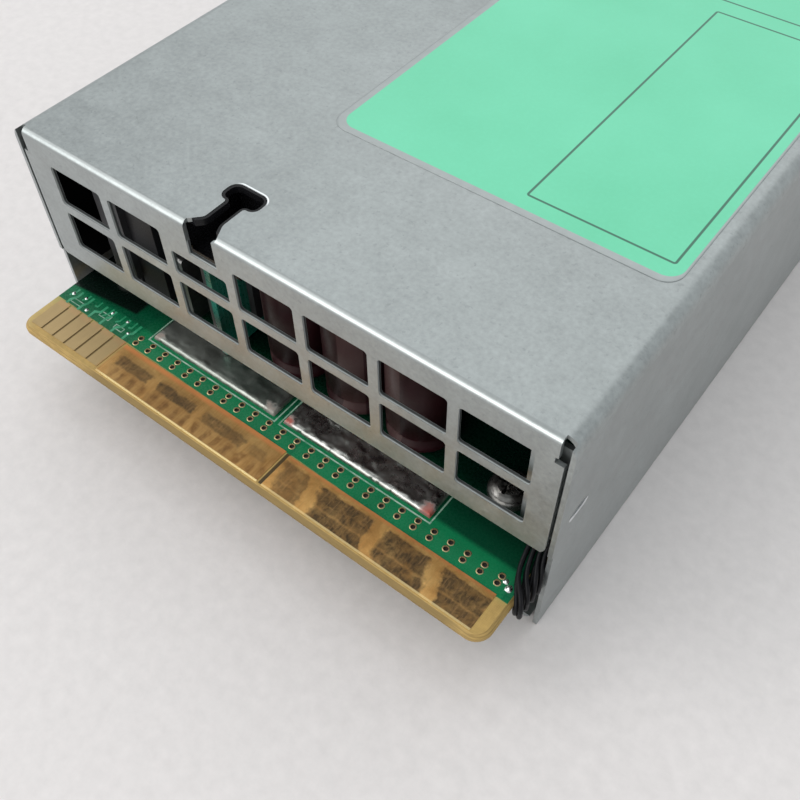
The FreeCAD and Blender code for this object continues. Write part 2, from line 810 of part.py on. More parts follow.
def pan_head(x, y, z, rh, hh, rs, ls):
    """Cross-recess pan head standing on z, shank going down."""
    head = doc.addObject("Part::Feature", nm("head"))
    pts = [(0, 0, 0), (rh, 0, 0), (rh, hh * 0.62, hh * 0.35), (rh * 0.55, hh, 0.5), (0, hh, 0)]
    f = Part.Face(wire_of(pts))
    m = FreeCAD.Matrix(1, 0, 0, 0, 0, 0, -1, 0, 0, 1, 0, 0, 0, 0, 0, 1)
    f = f.transformGeometry(m)
    sh = f.revolve(V(0, 0, 0), V(0, 0, 1), 360)
    head.Shape = sh
    head.Placement = FreeCAD.Placement(V(x, y, z), FreeCAD.Rotation())
    w = rh * 0.62
    rec1 = box(x - w, x + w, y - 0.27, y + 0.27, z + hh * 0.4, z + hh + 1)
    rec2 = box(x - 0.27, x + 0.27, y - w, y + w, z + hh * 0.4, z + hh + 1)
    shank = cyl("Z", rs, x, y, z - ls, ls)
    return cut(fuse(head, shank), rec1, rec2)


node(group(*[pan_head(x, y, bt, 2.9, 2.0, 1.28, 7.5) for x, y in BOARD_SCREWS]), "board_screws")

# Upright control board with its parts.
ctrl = cut(box(-12.6, -11.6, -89.6, -46.0, bt + 1.0, 33.2), cyl("X", 1.2, -13, -49.0, 30.0, 2))
node(ctrl, "control_board")
chips = []
for y0, y1, z0, z1, t in (
    (-84.0, -77.0, 16.5, 23.5, 1.1),
    (-72.0, -62.0, 17.0, 27.0, 1.4),
    (-58.0, -52.5, 16.0, 21.0, 1.2),
    (-82.0, -80.0, 27.0, 30.0, 0.9),
    (-76.0, -74.5, 27.0, 30.0, 0.9),
    (-58.0, -55.0, 25.0, 29.0, 1.6),
):
    chips.append(box(-11.6, -11.6 + t, y0, y1, z0, z1))
for k in range(4):
    chips.append(box(-14.6, -12.6, -88.6 + 4.6 * k, -85.0 + 4.6 * k, 13.0, 29.0 - 5 * (k % 2)))
node(group(*chips), "control_parts")

# Output capacitors: rows of upright cans.
cans = []
for x, y in ((-3.4, -82.2), (7.0, -82.2), (17.4, -82.2), (-3.4, -71.2), (7.0, -71.2), (17.4, -71.2)):
    can = doc.addObject("Part::Feature", nm("can"))
    f = Part.Face(wire_of([(0, 0, 0), (5, 0, 0.4), (5, 20.2, 0.8), (0, 20.2, 0)]))
    f = f.transformGeometry(FreeCAD.Matrix(1, 0, 0, 0, 0, 0, -1, 0, 0, 1, 0, 0, 0, 0, 0, 1))
    can.Shape = f.revolve(V(0, 0, 0), V(0, 0, 1), 360)
    can.Placement = FreeCAD.Placement(V(x, y, bt + 0.35), FreeCAD.Rotation())
    cans.append(can)
node(group(*cans), "output_capacitors")

# Copper bus bars standing up from the strips.
bars = []
for x0, outline in (
    (-22.0, [(-87.2, bt, 0), (-60.0, bt, 0), (-60.0, bt + 9.0, 1.0), (-82.0, bt + 9.0, 1.0), (-84.0, bt + 12.0, 1.0), (-87.2, bt + 12.0, 0.5)]),
    (24.0, [(-76.0, bt, 0), (-60.0, bt, 0), (-60.0, bt + 5.0, 1.0), (-73.0, bt + 5.0, 2.0)]),
):
    bars.append(shaped(None, prism(outline, "X", x0, 1.4), "bar"))
node(group(*bars), "output_busbars")

# Secondary side: finned heatsink and its transistors.
fins = [box(-29.5, -27.5, -88.0, -52.0, bt + 0.2, 36.4)]
for k in range(10):
    fins.append(box(-27.5, -24.2, -88.0 + 3.6 * k, -86.7 + 3.6 * k, 15.0, 36.4))
node(fuse(*fins), "secondary_heatsink")
tr = []
for k in range(3):
    y = -84.0 + 12.0 * k
    tr.append(fuse(box(-34.1, -29.5, y - 5, y + 5, 17.0, 32.0), *[box(-32.4, -31.8, y + d - 0.5, y + d + 0.5, bt, 17.0) for d in (-2.54, 0, 2.54)]))
node(group(*tr), "secondary_transistors")

# Output inductor: block core with a flat copper winding.
core = cut(box(2.0, 24.0, -61.0, -45.0, bt + 1.0, 32.0), box(5.8, 20.2, -61.5, -44.5, bt + 5.0, 28.0))
node(core, "inductor_core")
wnd = cut(box(6.4, 19.6, -63.5, -42.5, bt + 5.5, 27.5), box(9.6, 16.4, -60.0, -46.0, 0, 40))
node(wnd, "inductor_winding")

# Main transformer: E core with a taped winding.
ty = -24.0
core = cut(
    box(-16.0, 18.0, ty - 13.0, ty + 13.0, bt + 1.6, 35.0),
    box(-10.5, -4.0, ty - 14.0, ty + 14.0, bt + 5.6, 31.0),
    box(6.0, 12.5, ty - 14.0, ty + 14.0, bt + 5.6, 31.0),
)
node(core, "transformer_core")
wsh = fuse(cut(box(-10.1, 12.1, ty - 16.5, ty + 16.5, bt + 6.0, 30.6), box(-4.4, 6.4, ty - 13.5, ty + 13.5, 0, 40)))
node(wsh, "transformer_winding")

# Primary side: heatsink, transistors, bridge rectifier.
pf = [box(36.6, 38.8, -74.0, 0.0, bt + 0.2, 36.6)]
for k in range(4):
    pf.append(box(38.8, 41.0, -74.0, 0.0, 16.0 + 5.0 * k, 17.2 + 5.0 * k))
node(fuse(*pf), "primary_heatsink")
tr = []
for k in range(4):
    y = -66.0 + 15.0 * k
    tr.append(fuse(box(31.9, 36.6, y - 5.2, y + 5.2, 17.0, 33.0), *[box(33.9, 34.6, y + d - 0.5, y + d + 0.5, bt, 17.0) for d in (-3.0, 0, 3.0)]))
node(group(*tr), "primary_transistors")
br = fuse(box(22.5, 26.7, -38.0, -14.0, 16.0, 35.0), *[box(24.2, 25.0, y - 0.6, y + 0.6, bt, 16.0) for y in (-35.0, -29.0, -23.0, -17.0)])
node(br, "bridge_rectifier")

# Power-factor choke: toroid standing flat on the board.


def torus_core(x, y, z, R, r, ht):
    return cut(cyl("Z", R, x, y, z, ht), cyl("Z", r, x, y, z - 1, ht + 2))


def torus_winding(x, y, z, R, r, ht, turns, wire, gap=30.0):
    """Turns of wire round a toroid, as rounded rectangular loops."""
    loops = []
    for k in range(turns):
        a = gap / 2 + (360.0 - gap) * k / (turns - 1)
        lo, hi = r - wire / 2 - 0.02, R + wire / 2 + 0.02
        zl, zh = -wire / 2 - 0.02, ht + wire / 2 + 0.02
        w = wire_of([(lo, zl, wire * 0.55), (hi, zl, wire * 0.55), (hi, zh, wire * 0.55), (lo, zh, wire * 0.55)])
        m = FreeCAD.Matrix(1, 0, 0, 0, 0, 0, -1, 0, 0, 1, 0, 0, 0, 0, 0, 1)
        w = Part.Wire(Part.__sortEdges__(w.transformGeometry(m).Edges))
        e = w.Edges[0]
        p0 = e.valueAt(e.FirstParameter)
        t0 = e.tangentAt(e.FirstParameter)
        ring = Part.Wire([Part.Circle(p0, t0, wire / 2).toShape()])
        sh = w.makePipeShell([ring], True, False)
        sh.rotate(V(0, 0, 0), V(0, 0, 1), a)
        sh.translate(V(x, y, z))
        loops.append(sh)
    return loops


pc = torus_core(-28.0, -24.5, bt + 1.6, 11.0, 5.4, 12.0)
node(pc, "pfc_core")
shaped("pfc_winding", Part.makeCompound(torus_winding(-28.0, -24.5, bt + 1.6, 11.0, 5.4, 12.0, 17, 1.3)))

# Bulk capacitors lying behind the board, on their cradle.
bc = []
for x in (-16.5, 13.0):
    can = doc.addObject("Part::Feature", nm("can"))
    f = Part.Face(wire_of([(0, 0, 0), (14.0, 0, 1.4), (14.0, 44.0, 1.0), (0, 44.0, 0)]))
    sh = f.revolve(V(0, 0, 0), V(0, 1, 0), 360)
    can.Shape = sh
    can.Placement = FreeCAD.Placement(V(x, 5.4, 20.4), FreeCAD.Rotation())
    terms = [cyl("Y", 0.9, x - 5, 4.0, 20.4, 1.4), cyl("Y", 0.9, x + 5, 4.0, 20.4, 1.4)]
    bc.append(fuse(can, *terms))
node(group(*bc), "bulk_capacitors")
cr = cut(
    box(-30.0, 26.5, 12.0, 46.0, 1.4, 11.5),
    *[cyl("Y", 14.05, x, 10.0, 20.4, 40.0) for x in (-16.5, 13.0)],
    box(-24.0, -9.0, 16.0, 42.0, 1.0, 12.0),
    box(5.5, 20.5, 16.0, 42.0, 1.0, 12.0)
)
node(cr, "capacitor_cradle")

# Mains filter: choke, capacitors, relay and fuse on the side arm of the board.
node(torus_core(20.4, 60.6, bt + 1.4, 6.0, 3.1, 8.0), "line_choke_core")
shaped("line_choke_winding", Part.makeCompound(torus_winding(20.4, 60.6, bt + 1.4, 6.0, 3.1, 8.0, 12, 0.85, 40.0)))
lc = []
for y0, y1 in ((31.0, 44.0),):
    lc.append(box(31.0, 40.2, y0, y1, bt + 0.2, 27.0))
lc.append(box(34.0, 39.5, 56.5, 70.5, bt + 0.2, 24.0))
lcf = []
for o in lc:
    lcf.append(o)
node(group(*lcf), "line_capacitors")
node(fuse(box(30.6, 40.4, 3.5, 16.5, bt + 0.2, 28.5), box(32.0, 39.0, 5.0, 15.0, bt, bt + 0.2)), "mains_relay")
fz = fuse(cyl("Y", 2.5, 35.4, 18.6, bt + 4.0, 10.4))
caps = [cut(box(32.4, 38.4, y, y + 2.0, bt, bt + 6.0), cyl("Y", 2.5, 35.4, y - 1, bt + 4.0, 4)) for y in (18.9, 26.7)]
node(group(fz, *caps), "input_fuse")

# ======================================================================= fan
fx, fz_, hw2, fb = P["fan_x"], P["fan_z"], P["fan_hw"], P["fan_bore"]
fan = body("fan_housing")
s = sketch(fan, "XZ_Plane", "@fan_y1")
sk_outline(s, [(fx - hw2, fz_ - hw2, 2.5), (fx + hw2, fz_ - hw2, 2.5), (fx + hw2, fz_ + hw2, 2.5), (fx - hw2, fz_ + hw2, 2.5)])
pad(fan, s, "@fan_y1-@fan_y0")
# scallop the frame between its two flanges
s = sketch(fan, "XZ_Plane", "@fan_y1-3.2")
for sx in (-1, 1):
    for sz in (-1, 1):
        xs = sorted((fx + sx * 13.6, fx + sx * 19.5))
        zs = sorted((fz_ + sz * 13.6, fz_ + sz * 19.5))
        sk_rect(s, xs[0], xs[1], zs[0], zs[1])
pk = fan.newObject("PartDesign::Pocket", nm("Pocket"))
pk.Profile = s
bind(pk, "Length", "@fan_y1-@fan_y0-6.4")
vol0 = fan.Shape.Volume
pk.Reversed = True
doc.recompute()
if fan.Shape.Volume > vol0 - 100:
    raise RuntimeError("fan frame pocket")
s = sketch(fan, "XZ_Plane", "@fan_y1+1")
sk_circle(s, "@fan_x", "@fan_z", "@fan_bore")
pocket(fan, s, "@fan_y1-@fan_y0+2", rev=True)
s = sketch(fan, "XZ_Plane", "@fan_y1+1")
for sx in (-1, 1):
    for sz in (-1, 1):
        sk_circle(s, fx + sx * P["screw_sp"], fz_ + sz * P["screw_sp"], 1.45)
pocket(fan, s, "@fan_y1-@fan_y0+2", rev=True)
# motor base, bearing tube and four struts at the inner end
s = sketch(fan, "XZ_Plane", "@fan_y0")
sk_circle(s, "@fan_x", "@fan_z", 9.0)
pad(fan, s, 2.0, rev=True)
s = sketch(fan, "XZ_Plane", "@fan_y0")
sk_circle(s, "@fan_x", "@fan_z", 4.2)
pad(fan, s, 21.0, rev=True)
s = sketch(fan, "XZ_Plane", "@fan_y0")
sk_rect(s, fx - 18.2, fx + 18.2, fz_ - 1.1, fz_ + 1.1)
pad(fan, s, 2.0, rev=True)
s = sketch(fan, "XZ_Plane", "@fan_y0")
sk_rect(s, fx - 1.1, fx + 1.1, fz_ - 18.2, fz_ + 18.2)
pad(fan, s, 2.0, rev=True)
s = sketch(fan, "XZ_Plane", "@fan_y0+22")
sk_circle(s, "@fan_x", "@fan_z", 3.0)
pocket(fan, s, 19.3, rev=True)

node(
    group(*[ring_solid("Y", 3.0, "@shaft_hole", fx, y, fz_, 2.5) for y in (67.0, 81.0)]),
    "fan_bearings",
)
node(cyl("Y", "@shaft_rad", "@fan_x", 66.2, "@fan_z", 20.4), "fan_shaft")
# stator: ring with four wound poles
st = [ring_solid("Y", 5.0, 4.2, fx, 70.5, fz_, 10.0)]
for a in (0, 90, 180, 270):
    o = box(-1.3, 1.3, 70.5, 80.5, 4.7, 6.7)
    o.Placement = FreeCAD.Placement(V(fx, 0, fz_), FreeCAD.Rotation(V(0, 1, 0), a)).multiply(o.Placement)
    st.append(o)
node(fuse(*st), "fan_stator")
node(ring_solid("Y", 8.1, 7.2, fx, 69.5, fz_, 12.0), "fan_magnet")
# impeller: cup and seven blades
cup = cut(cyl("Y", 9.3, fx, 68.5, fz_, 18.0), cyl("Y", 8.1, fx, 68.0, fz_, 16.9), cyl("Y", 1.0, fx, 80, fz_, 10))
doc.recompute()
cup_shape = cup.Shape.copy()
blades = []
for k in range(7):
    secs = []
    for rad, ang, half, th in ((8.9, 38.0, 8.6, 1.3), (13.0, 50.0, 8.8, 1.0), (18.0, 60.0, 9.0, 0.9)):
        a = math.radians(ang)
        # chord direction in (tangent, Y)
        cx, cy = math.sin(a), math.cos(a)
        nx, ny = cy, -cx
        pts = []
        for u, w in ((-half, -th / 2), (half, -th / 2), (half, th / 2), (-half, th / 2)):
            tx = u * cx * 0.78 + w * nx
            yy = u * cy * 0.78 + w * ny
            pts.append(V(tx, yy + 77.2, rad))
        secs.append(Part.makePolygon(pts + [pts[0]]))
    bl = Part.makeLoft(secs, True, True)
    bl.rotate(V(0, 0, 0), V(0, 1, 0), 360.0 * k / 7)
    bl.translate(V(fx, 0, fz_))
    blades.append(bl)
tip = Part.makeCylinder(17.0, 60, V(fx, 50, fz_), V(0, 1, 0)).cut(Part.makeCylinder(9.0, 60, V(fx, 50, fz_), V(0, 1, 0)))
bl_all = [b.common(tip) for b in blades]
imp = cup_shape
for b in bl_all:
    imp = imp.fuse(b)
shaped("fan_impeller", imp.removeSplitter())
# self-tapping fan screws, heads outside the panel
fs = []
for sx in (-1, 1):
    for sz in (-1, 1):
        x, z = fx + sx * P["screw_sp"], fz_ + sz * P["screw_sp"]
        head = cone("Y", 2.7, 2.2, x, 92.0, z, 1.7)
        shank = cyl("Y", 1.44, x, 84.0, z, 8.0)
        r1 = box(x - 1.5, x + 1.5, 92.9, 95, z - 0.25, z + 0.25)
        r2 = box(x - 0.25, x + 0.25, 92.9, 95, z - 1.5, z + 1.5)
        fs.append(cut(fuse(head, shank), r1, r2))
node(group(*fs), "fan_screws")

# ===================================================================== inlet
ix, iz = P["inlet_x"], P["inlet_z"]
inlet = body("inlet_housing")
s = sketch(inlet, "XZ_Plane", 94.0)
sk_outline(s, [(ix - 15.3, iz - 11.7, 1.5), (ix + 15.3, iz - 11.7, 1.5), (ix + 15.3, iz + 11.7, 1.5), (ix - 15.3, iz + 11.7, 1.5)])
pad(inlet, s, 2.0, rev=True)
s = sketch(inlet, "XZ_Plane", 93.0)
sk_rect(s, "@inlet_x-@inlet_w/2", "@inlet_x+@inlet_w/2", "@inlet_z-@inlet_ht/2", "@inlet_z+@inlet_ht/2")
pad(inlet, s, 18.0, rev=True)
doc.recompute()
if inlet.Shape.BoundBox.YMin > 80:
    for f in inlet.Group:
        if f.TypeId == "PartDesign::Pad":
            f.Reversed = False
    doc.recompute()
fillet(inlet, 0.7, along("x", y=94.0))
s = sketch(inlet, "XZ_Plane", 95.0)
sk_outline(
    s,
    [
        (ix - 12.1, iz - 8.2, 0.8),
        (ix + 12.1, iz - 8.2, 0.8),
        (ix + 12.1, iz + 3.6, 0.4),
        (ix + 7.5, iz + 8.2, 0.4),
        (ix - 7.5, iz + 8.2, 0.4),
        (ix - 12.1, iz + 3.6, 0.4),
    ],
)
pocket(inlet, s, 17.5, rev=True)
bl = []
for x, z, tipy in ((ix - 7.0, iz - 2.0, 91.6), (ix + 7.0, iz - 2.0, 91.6), (ix, iz + 2.0, 93.0)):
    bl.append(("blade", x, z, tipy))
s = sketch(inlet, "XZ_Plane", 79.0)
for _, x, z, tipy in bl:
    sk_rect(s, x - 1.0, x + 1.0, z - 2.0, z + 2.0)
pocket(inlet, s, 6.0, rev=True)
bs = []
for _, x, z, tipy in bl:
    blade = cut(
        box(x - 1.0, x + 1.0, 71.5, tipy, z - 2.0, z + 2.0),
        cyl("X", 0.7, x - 2, 73.2, z, 4),
    )
    bs.append(blade)
node(group(*bs), "inlet_blades")

# ==================================================================== handle
gx, gt, gy = P["grip_x"], P["grip_th"], P["grip_y"]
handle = body("handle")
s = sketch(handle, "YZ_Plane", "@grip_x")
sk_outline(
    s,
    [
        (92.0, 3.0, 0),
        (gy, 3.0, 8.0),
        (gy, 37.0, 8.0),
        (92.0, 37.0, 0),
        (92.0, 31.2, 0),
        (gy - 7.2, 31.2, 4.5),
        (gy - 7.2, 8.8, 4.5),
        (92.0, 8.8, 0),
    ],
)
pad(handle, s, "@grip_th", mid=True)
fillet(
    handle,
    1.6,
    lambda e, vs: len(vs) == 2
    and all(abs(abs(v.x - gx) - gt / 2) < 1e-4 for v in vs)
    and abs(vs[0].x - vs[1].x) < 1e-6
    and any(v.y > 92.1 for v in vs),
)
# feet that bear on the panel
s = sketch(handle, "YZ_Plane", "@grip_x")
sk_rect(s, 92.0, 94.2, 2.2, 9.6)
sk_rect(s, 92.0, 94.2, 30.4, 37.8)
pad(handle, s, "@grip_th", mid=True)
s = sketch(handle, "XZ_Plane", 91.0)
for z in (6.0, 34.0):
    sk_circle(s, "@grip_x", z, 1.45)
pk = handle.newObject("PartDesign::Pocket", nm("Pocket"))
pk.Profile = s
pk.Length = 11.0
vol0 = handle.Shape.Volume
doc.recompute()
if handle.Shape.Volume > vol0 - 10:
    pk.Reversed = True
    doc.recompute()
if handle.Shape.Volume > vol0 - 10:
    raise RuntimeError("handle holes")
hs = []
for z in (6.0, 34.0):
    head = cyl("Y", 2.5, "@grip_x", 89.3, z, 1.7)
    shank = cyl("Y", 1.44, "@grip_x", 91.0, z, 9.0)
    rec = box(gx - 1.4, gx + 1.4, 88, 90.1, z - 0.25, z + 0.25)
    rec2 = box(gx - 0.25, gx + 0.25, 88, 90.1, z - 1.4, z + 1.4)
    hs.append(cut(fuse(head, shank), rec, rec2))
node(group(*hs), "handle_screws")

# ===================================================================== latch
px, py = P["pivot_x"], P["pivot_y"]
# lever: sprung-steel strip with a rolled eye and a formed tooth
strip = box(-41.6, -40.6, py, 109.0, 14.0, 26.0)
eye = cyl("Z", 2.2, "@pivot_x", "@pivot_y", 14.0, 12.0)
tooth = shaped(None, prism([(-41.0, 78.2, 0), (-41.6, 78.2, 0), (-45.0, 85.6, 0.6), (-45.0, 88.0, 0.5), (-41.0, 88.0, 0)], "Z", 15.2, 9.6), "tooth")
lever = cut(fuse(strip, eye, tooth), cyl("Z", "@pin_hole", "@pivot_x", "@pivot_y", 13.0, 14.0))
node(lever, "latch_lever")
# moulded grip over the end of the lever, ribbed for the thumb
grip = body("latch_grip")
s = sketch(grip, "XY_Plane", 12.4)
sk_outline(
    s,
    [
        (-43.0, 93.0, 0.6),
        (-43.0, 114.5, 1.6),
        (-38.6, 114.5, 1.6),
        (-38.6, 111.5, 0.8),
        (-39.8, 109.5, 1.5),
        (-39.8, 93.0, 0.6),
    ],
)
pad(grip, s, 15.2)
s = sketch(grip, "XY_Plane", 14.0)
sk_rect(s, -41.6, -40.6, 92.0, 109.0)
pk = grip.newObject("PartDesign::Pocket", nm("Pocket"))
pk.Profile = s
pk.Length = 12.0
pk.Reversed = True
vol0 = grip.Shape.Volume
doc.recompute()
if grip.Shape.Volume > vol0 - 10:
    raise RuntimeError("grip slot")
s = sketch(grip, "YZ_Plane", -39.0)
for k in range(5):
    sk_rect(s, 96.0 + 2.6 * k, 97.1 + 2.6 * k, 10.0, 30.0)
pk = grip.newObject("PartDesign::Pocket", nm("Pocket"))
pk.Profile = s
pk.Length = 1.1
vol0 = grip.Shape.Volume
doc.recompute()
if grip.Shape.Volume > vol0 - 10:
    raise RuntimeError("grip ribs")

node(cyl("Z", "@pin_rad", "@pivot_x", "@pivot_y", 12.2, 15.8), "latch_pin")
brk = cut(
    fuse(
        box(-36.4, -35.2, 45.5, 54.5, 1.0, 28.0),
        box(-41.5, -36.4, 45.5, 54.5, 12.6, 13.7),
        box(-41.5, -36.4, 45.5, 54.5, 26.3, 27.4),
        box(-35.2, -31.0, 45.5, 54.5, 1.0, 2.0),
    ),
    cyl("Z", "@pin_rad", "@pivot_x", "@pivot_y", 10, 20),
)
node(brk, "latch_bracket")
node(group(*[fuse(cyl("Z", 1.6, -32.9, y, 2.0, 0.7)) for y in (47.8, 52.2)]), "bracket_rivets")
# leaf spring between the bracket and the lever
leaf_pts = [(-36.55, 45.8), (-36.55, 53.6), (-37.4, 58.0), (-40.2, 66.4), (-39.6, 69.6)]
w2 = [V(x, y, 0) for x, y in leaf_pts]


def offset_strip(pts, th):
    left, right = [], []
    for i, p in enumerate(pts):
        if i == 0:
            d = (pts[1] - p).normalize()
        elif i == len(pts) - 1:
            d = (p - pts[i - 1]).normalize()
        else:
            d = ((pts[i + 1] - p).normalize() + (p - pts[i - 1]).normalize()).normalize()
        n = V(-d.y, d.x, 0)
        left.append(p + n * th / 2)
        right.append(p - n * th / 2)
    loop = left + right[::-1]
    return Part.Face(Part.makePolygon(loop + [loop[0]]))


leaf = offset_strip(w2, 0.28).extrude(V(0, 0, 7.0))
leaf.translate(V(0, 0, 16.5))
shaped("latch_spring", leaf)

# ============================================================ lights and leads
lp = []
for x in (22.05, 30.05):
    lp.append(fuse(cyl("Y", 1.1, x, 87.6, 35.3, 4.9), cyl("Y", 1.7, x, 88.6, 35.3, 2.2)))
node(group(*lp), "light_pipes")
ib = [box(17.0, 35.0, 84.4, 85.6, 32.4, 38.4)]
ibs = group(*ib)
node(ibs, "indicator_board")
node(group(*[box(x - 1.0, x + 1.0, 85.6, 86.6, 34.5, 36.1) for x in (22.05, 30.05)]), "indicator_lamps")

# Black sense leads: under the flange's corner, round the board's right edge.
leads = []
for i in range(8):
    a, b = i % 4, i // 4
    pts = [
        (37.9 + 0.75 * a, -79.5, 19.4 + 0.75 * b),
        (38.8 + 0.75 * a, -85.0, 18.0 + 0.75 * b),
        (39.25 + 0.74 * a, -90.6, 14.3 + 0.75 * b),
        (39.9 + 0.85 * a, -93.7 + 0.5 * a, 13.2 + 0.75 * b),
        (41.95 + 0.65 * b, -96.85 + 1.36 * a, 12.85 + 0.75 * b),
        (41.95 + 0.65 * b, -96.85 + 1.36 * a, 9.9 - 0.7 * b),
        (39.6, -92.85 + 1.36 * a, 9.4 - 0.7 * b),
        (37.2, -88.75 + 1.36 * a, 8.9 - 0.7 * b),
    ]
    if a > 1:
        del pts[3]
    leads.append(tube(pts, 0.3, "sense lead %d" % i))
shaped("sense_leads", Part.makeCompound(leads))

# Fan leads along the left wall to the board.
fl = []
for i in range(3):
    z = 9.0 + 1.35 * i
    pts = [(-27.5, 62.2, z), (-29.3, 58.6, z), (-31.8, 52.0, z), (-32.0, 38.0, z), (-34.5, 24.0, z), (-37.0, 12.0, z + 3.0), (-38.4, 5.0, z + 7.6), (-38.4 + 1.4 * i, -2.0, z + 9.0)]
    fl.append(tube(pts, 0.55, "fan lead %d" % i))
shaped("fan_leads", Part.makeCompound(fl))

# Mains leads inside, from the inlet blades to the board and the tray.
lw = tube(
    [(33.05, 71.3, 18.0), (33.05, 68.3, 18.4), (31.6, 62.0, 22.0), (31.2, 54.4, 24.2), (31.4, 48.9, 20.0), (31.4, 47.4, 12.6)],
    0.9,
    "live wire",
)
shaped("live_wire", lw)
nw = tube(
    [(19.05, 71.2, 18.0), (19.05, 68.9, 18.2), (18.8, 68.7, 24.4), (14.9, 67.6, 25.4), (13.7, 68.6, 19.0), (13.8, 69.2, 12.6)],
    0.9,
    "neutral wire",
)
shaped("neutral_wire", nw)
ew = tube(
    [(26.05, 71.2, 22.0), (26.05, 68.3, 22.6), (27.2, 62.0, 26.4), (28.0, 55.8, 23.6), (27.5, 53.2, 14.0), (27.2, 53.2, 3.25)],
    0.9,
    "earth wire",
)
shaped("earth_wire", ew)
es = fuse(cyl("Z", 3.0, ix + 0.3, 49.6, 1.0, 1.6), pan_head(ix + 0.3, 49.6, 2.6, 2.6, 1.8, 1.2, 1.0))
es2 = fuse(es, box(25.2, 28.6, 50.5, 54.6, 2.6, 3.2))
node(es2, "earth_screw")

# ------------------------------------------------------------ check and write
doc.recompute()
for o in doc.Objects:
    st = list(o.State)
    if "Invalid" in st or "Error" in st:
        raise RuntimeError("failed object: %s %s %s" % (o.Name, o.Label, st))
if len({label for label, _ in NODES}) != len(NODES):
    raise RuntimeError("node names repeat")
if len(NODES) > 60:
    raise RuntimeError("too many nodes")
for label, obj in NODES:
    sh = obj.Shape
    if sh.isNull() or not sh.isValid() or not sh.Solids:
        raise RuntimeError("bad shape: " + label)
    if len(label) >= 60:
        raise RuntimeError("name too long: " + label)
for label, obj in NODES:
    obj.Shape.exportStep("parts/%s.step" % label)
    bb = obj.Shape.BoundBox
    print(
        "%-22s solids %2d  x %7.2f %7.2f  y %7.2f %7.2f  z %6.2f %6.2f  vol %9.1f"
        % (label, len(obj.Shape.Solids), bb.XMin, bb.XMax, bb.YMin, bb.YMax, bb.ZMin, bb.ZMax, obj.Shape.Volume)
    )
print("nodes", len(NODES))
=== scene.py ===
import math
import random

import bmesh
import bpy
from mathutils import Matrix, Vector, noise


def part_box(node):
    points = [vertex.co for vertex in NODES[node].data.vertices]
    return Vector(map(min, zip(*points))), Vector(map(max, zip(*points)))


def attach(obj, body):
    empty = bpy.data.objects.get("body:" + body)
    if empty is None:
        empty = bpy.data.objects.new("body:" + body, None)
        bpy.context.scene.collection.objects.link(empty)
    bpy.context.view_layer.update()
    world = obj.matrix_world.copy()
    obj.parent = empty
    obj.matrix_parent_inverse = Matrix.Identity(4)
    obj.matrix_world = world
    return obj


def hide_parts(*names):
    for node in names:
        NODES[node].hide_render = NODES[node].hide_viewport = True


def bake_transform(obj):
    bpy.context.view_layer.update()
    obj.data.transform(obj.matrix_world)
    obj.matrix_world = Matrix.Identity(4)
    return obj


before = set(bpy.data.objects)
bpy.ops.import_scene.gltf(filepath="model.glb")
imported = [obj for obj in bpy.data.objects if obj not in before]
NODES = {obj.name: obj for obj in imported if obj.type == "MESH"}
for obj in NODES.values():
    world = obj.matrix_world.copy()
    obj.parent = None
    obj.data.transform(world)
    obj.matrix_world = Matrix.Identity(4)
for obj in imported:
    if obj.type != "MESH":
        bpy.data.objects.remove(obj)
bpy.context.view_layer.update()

MM = 0.001


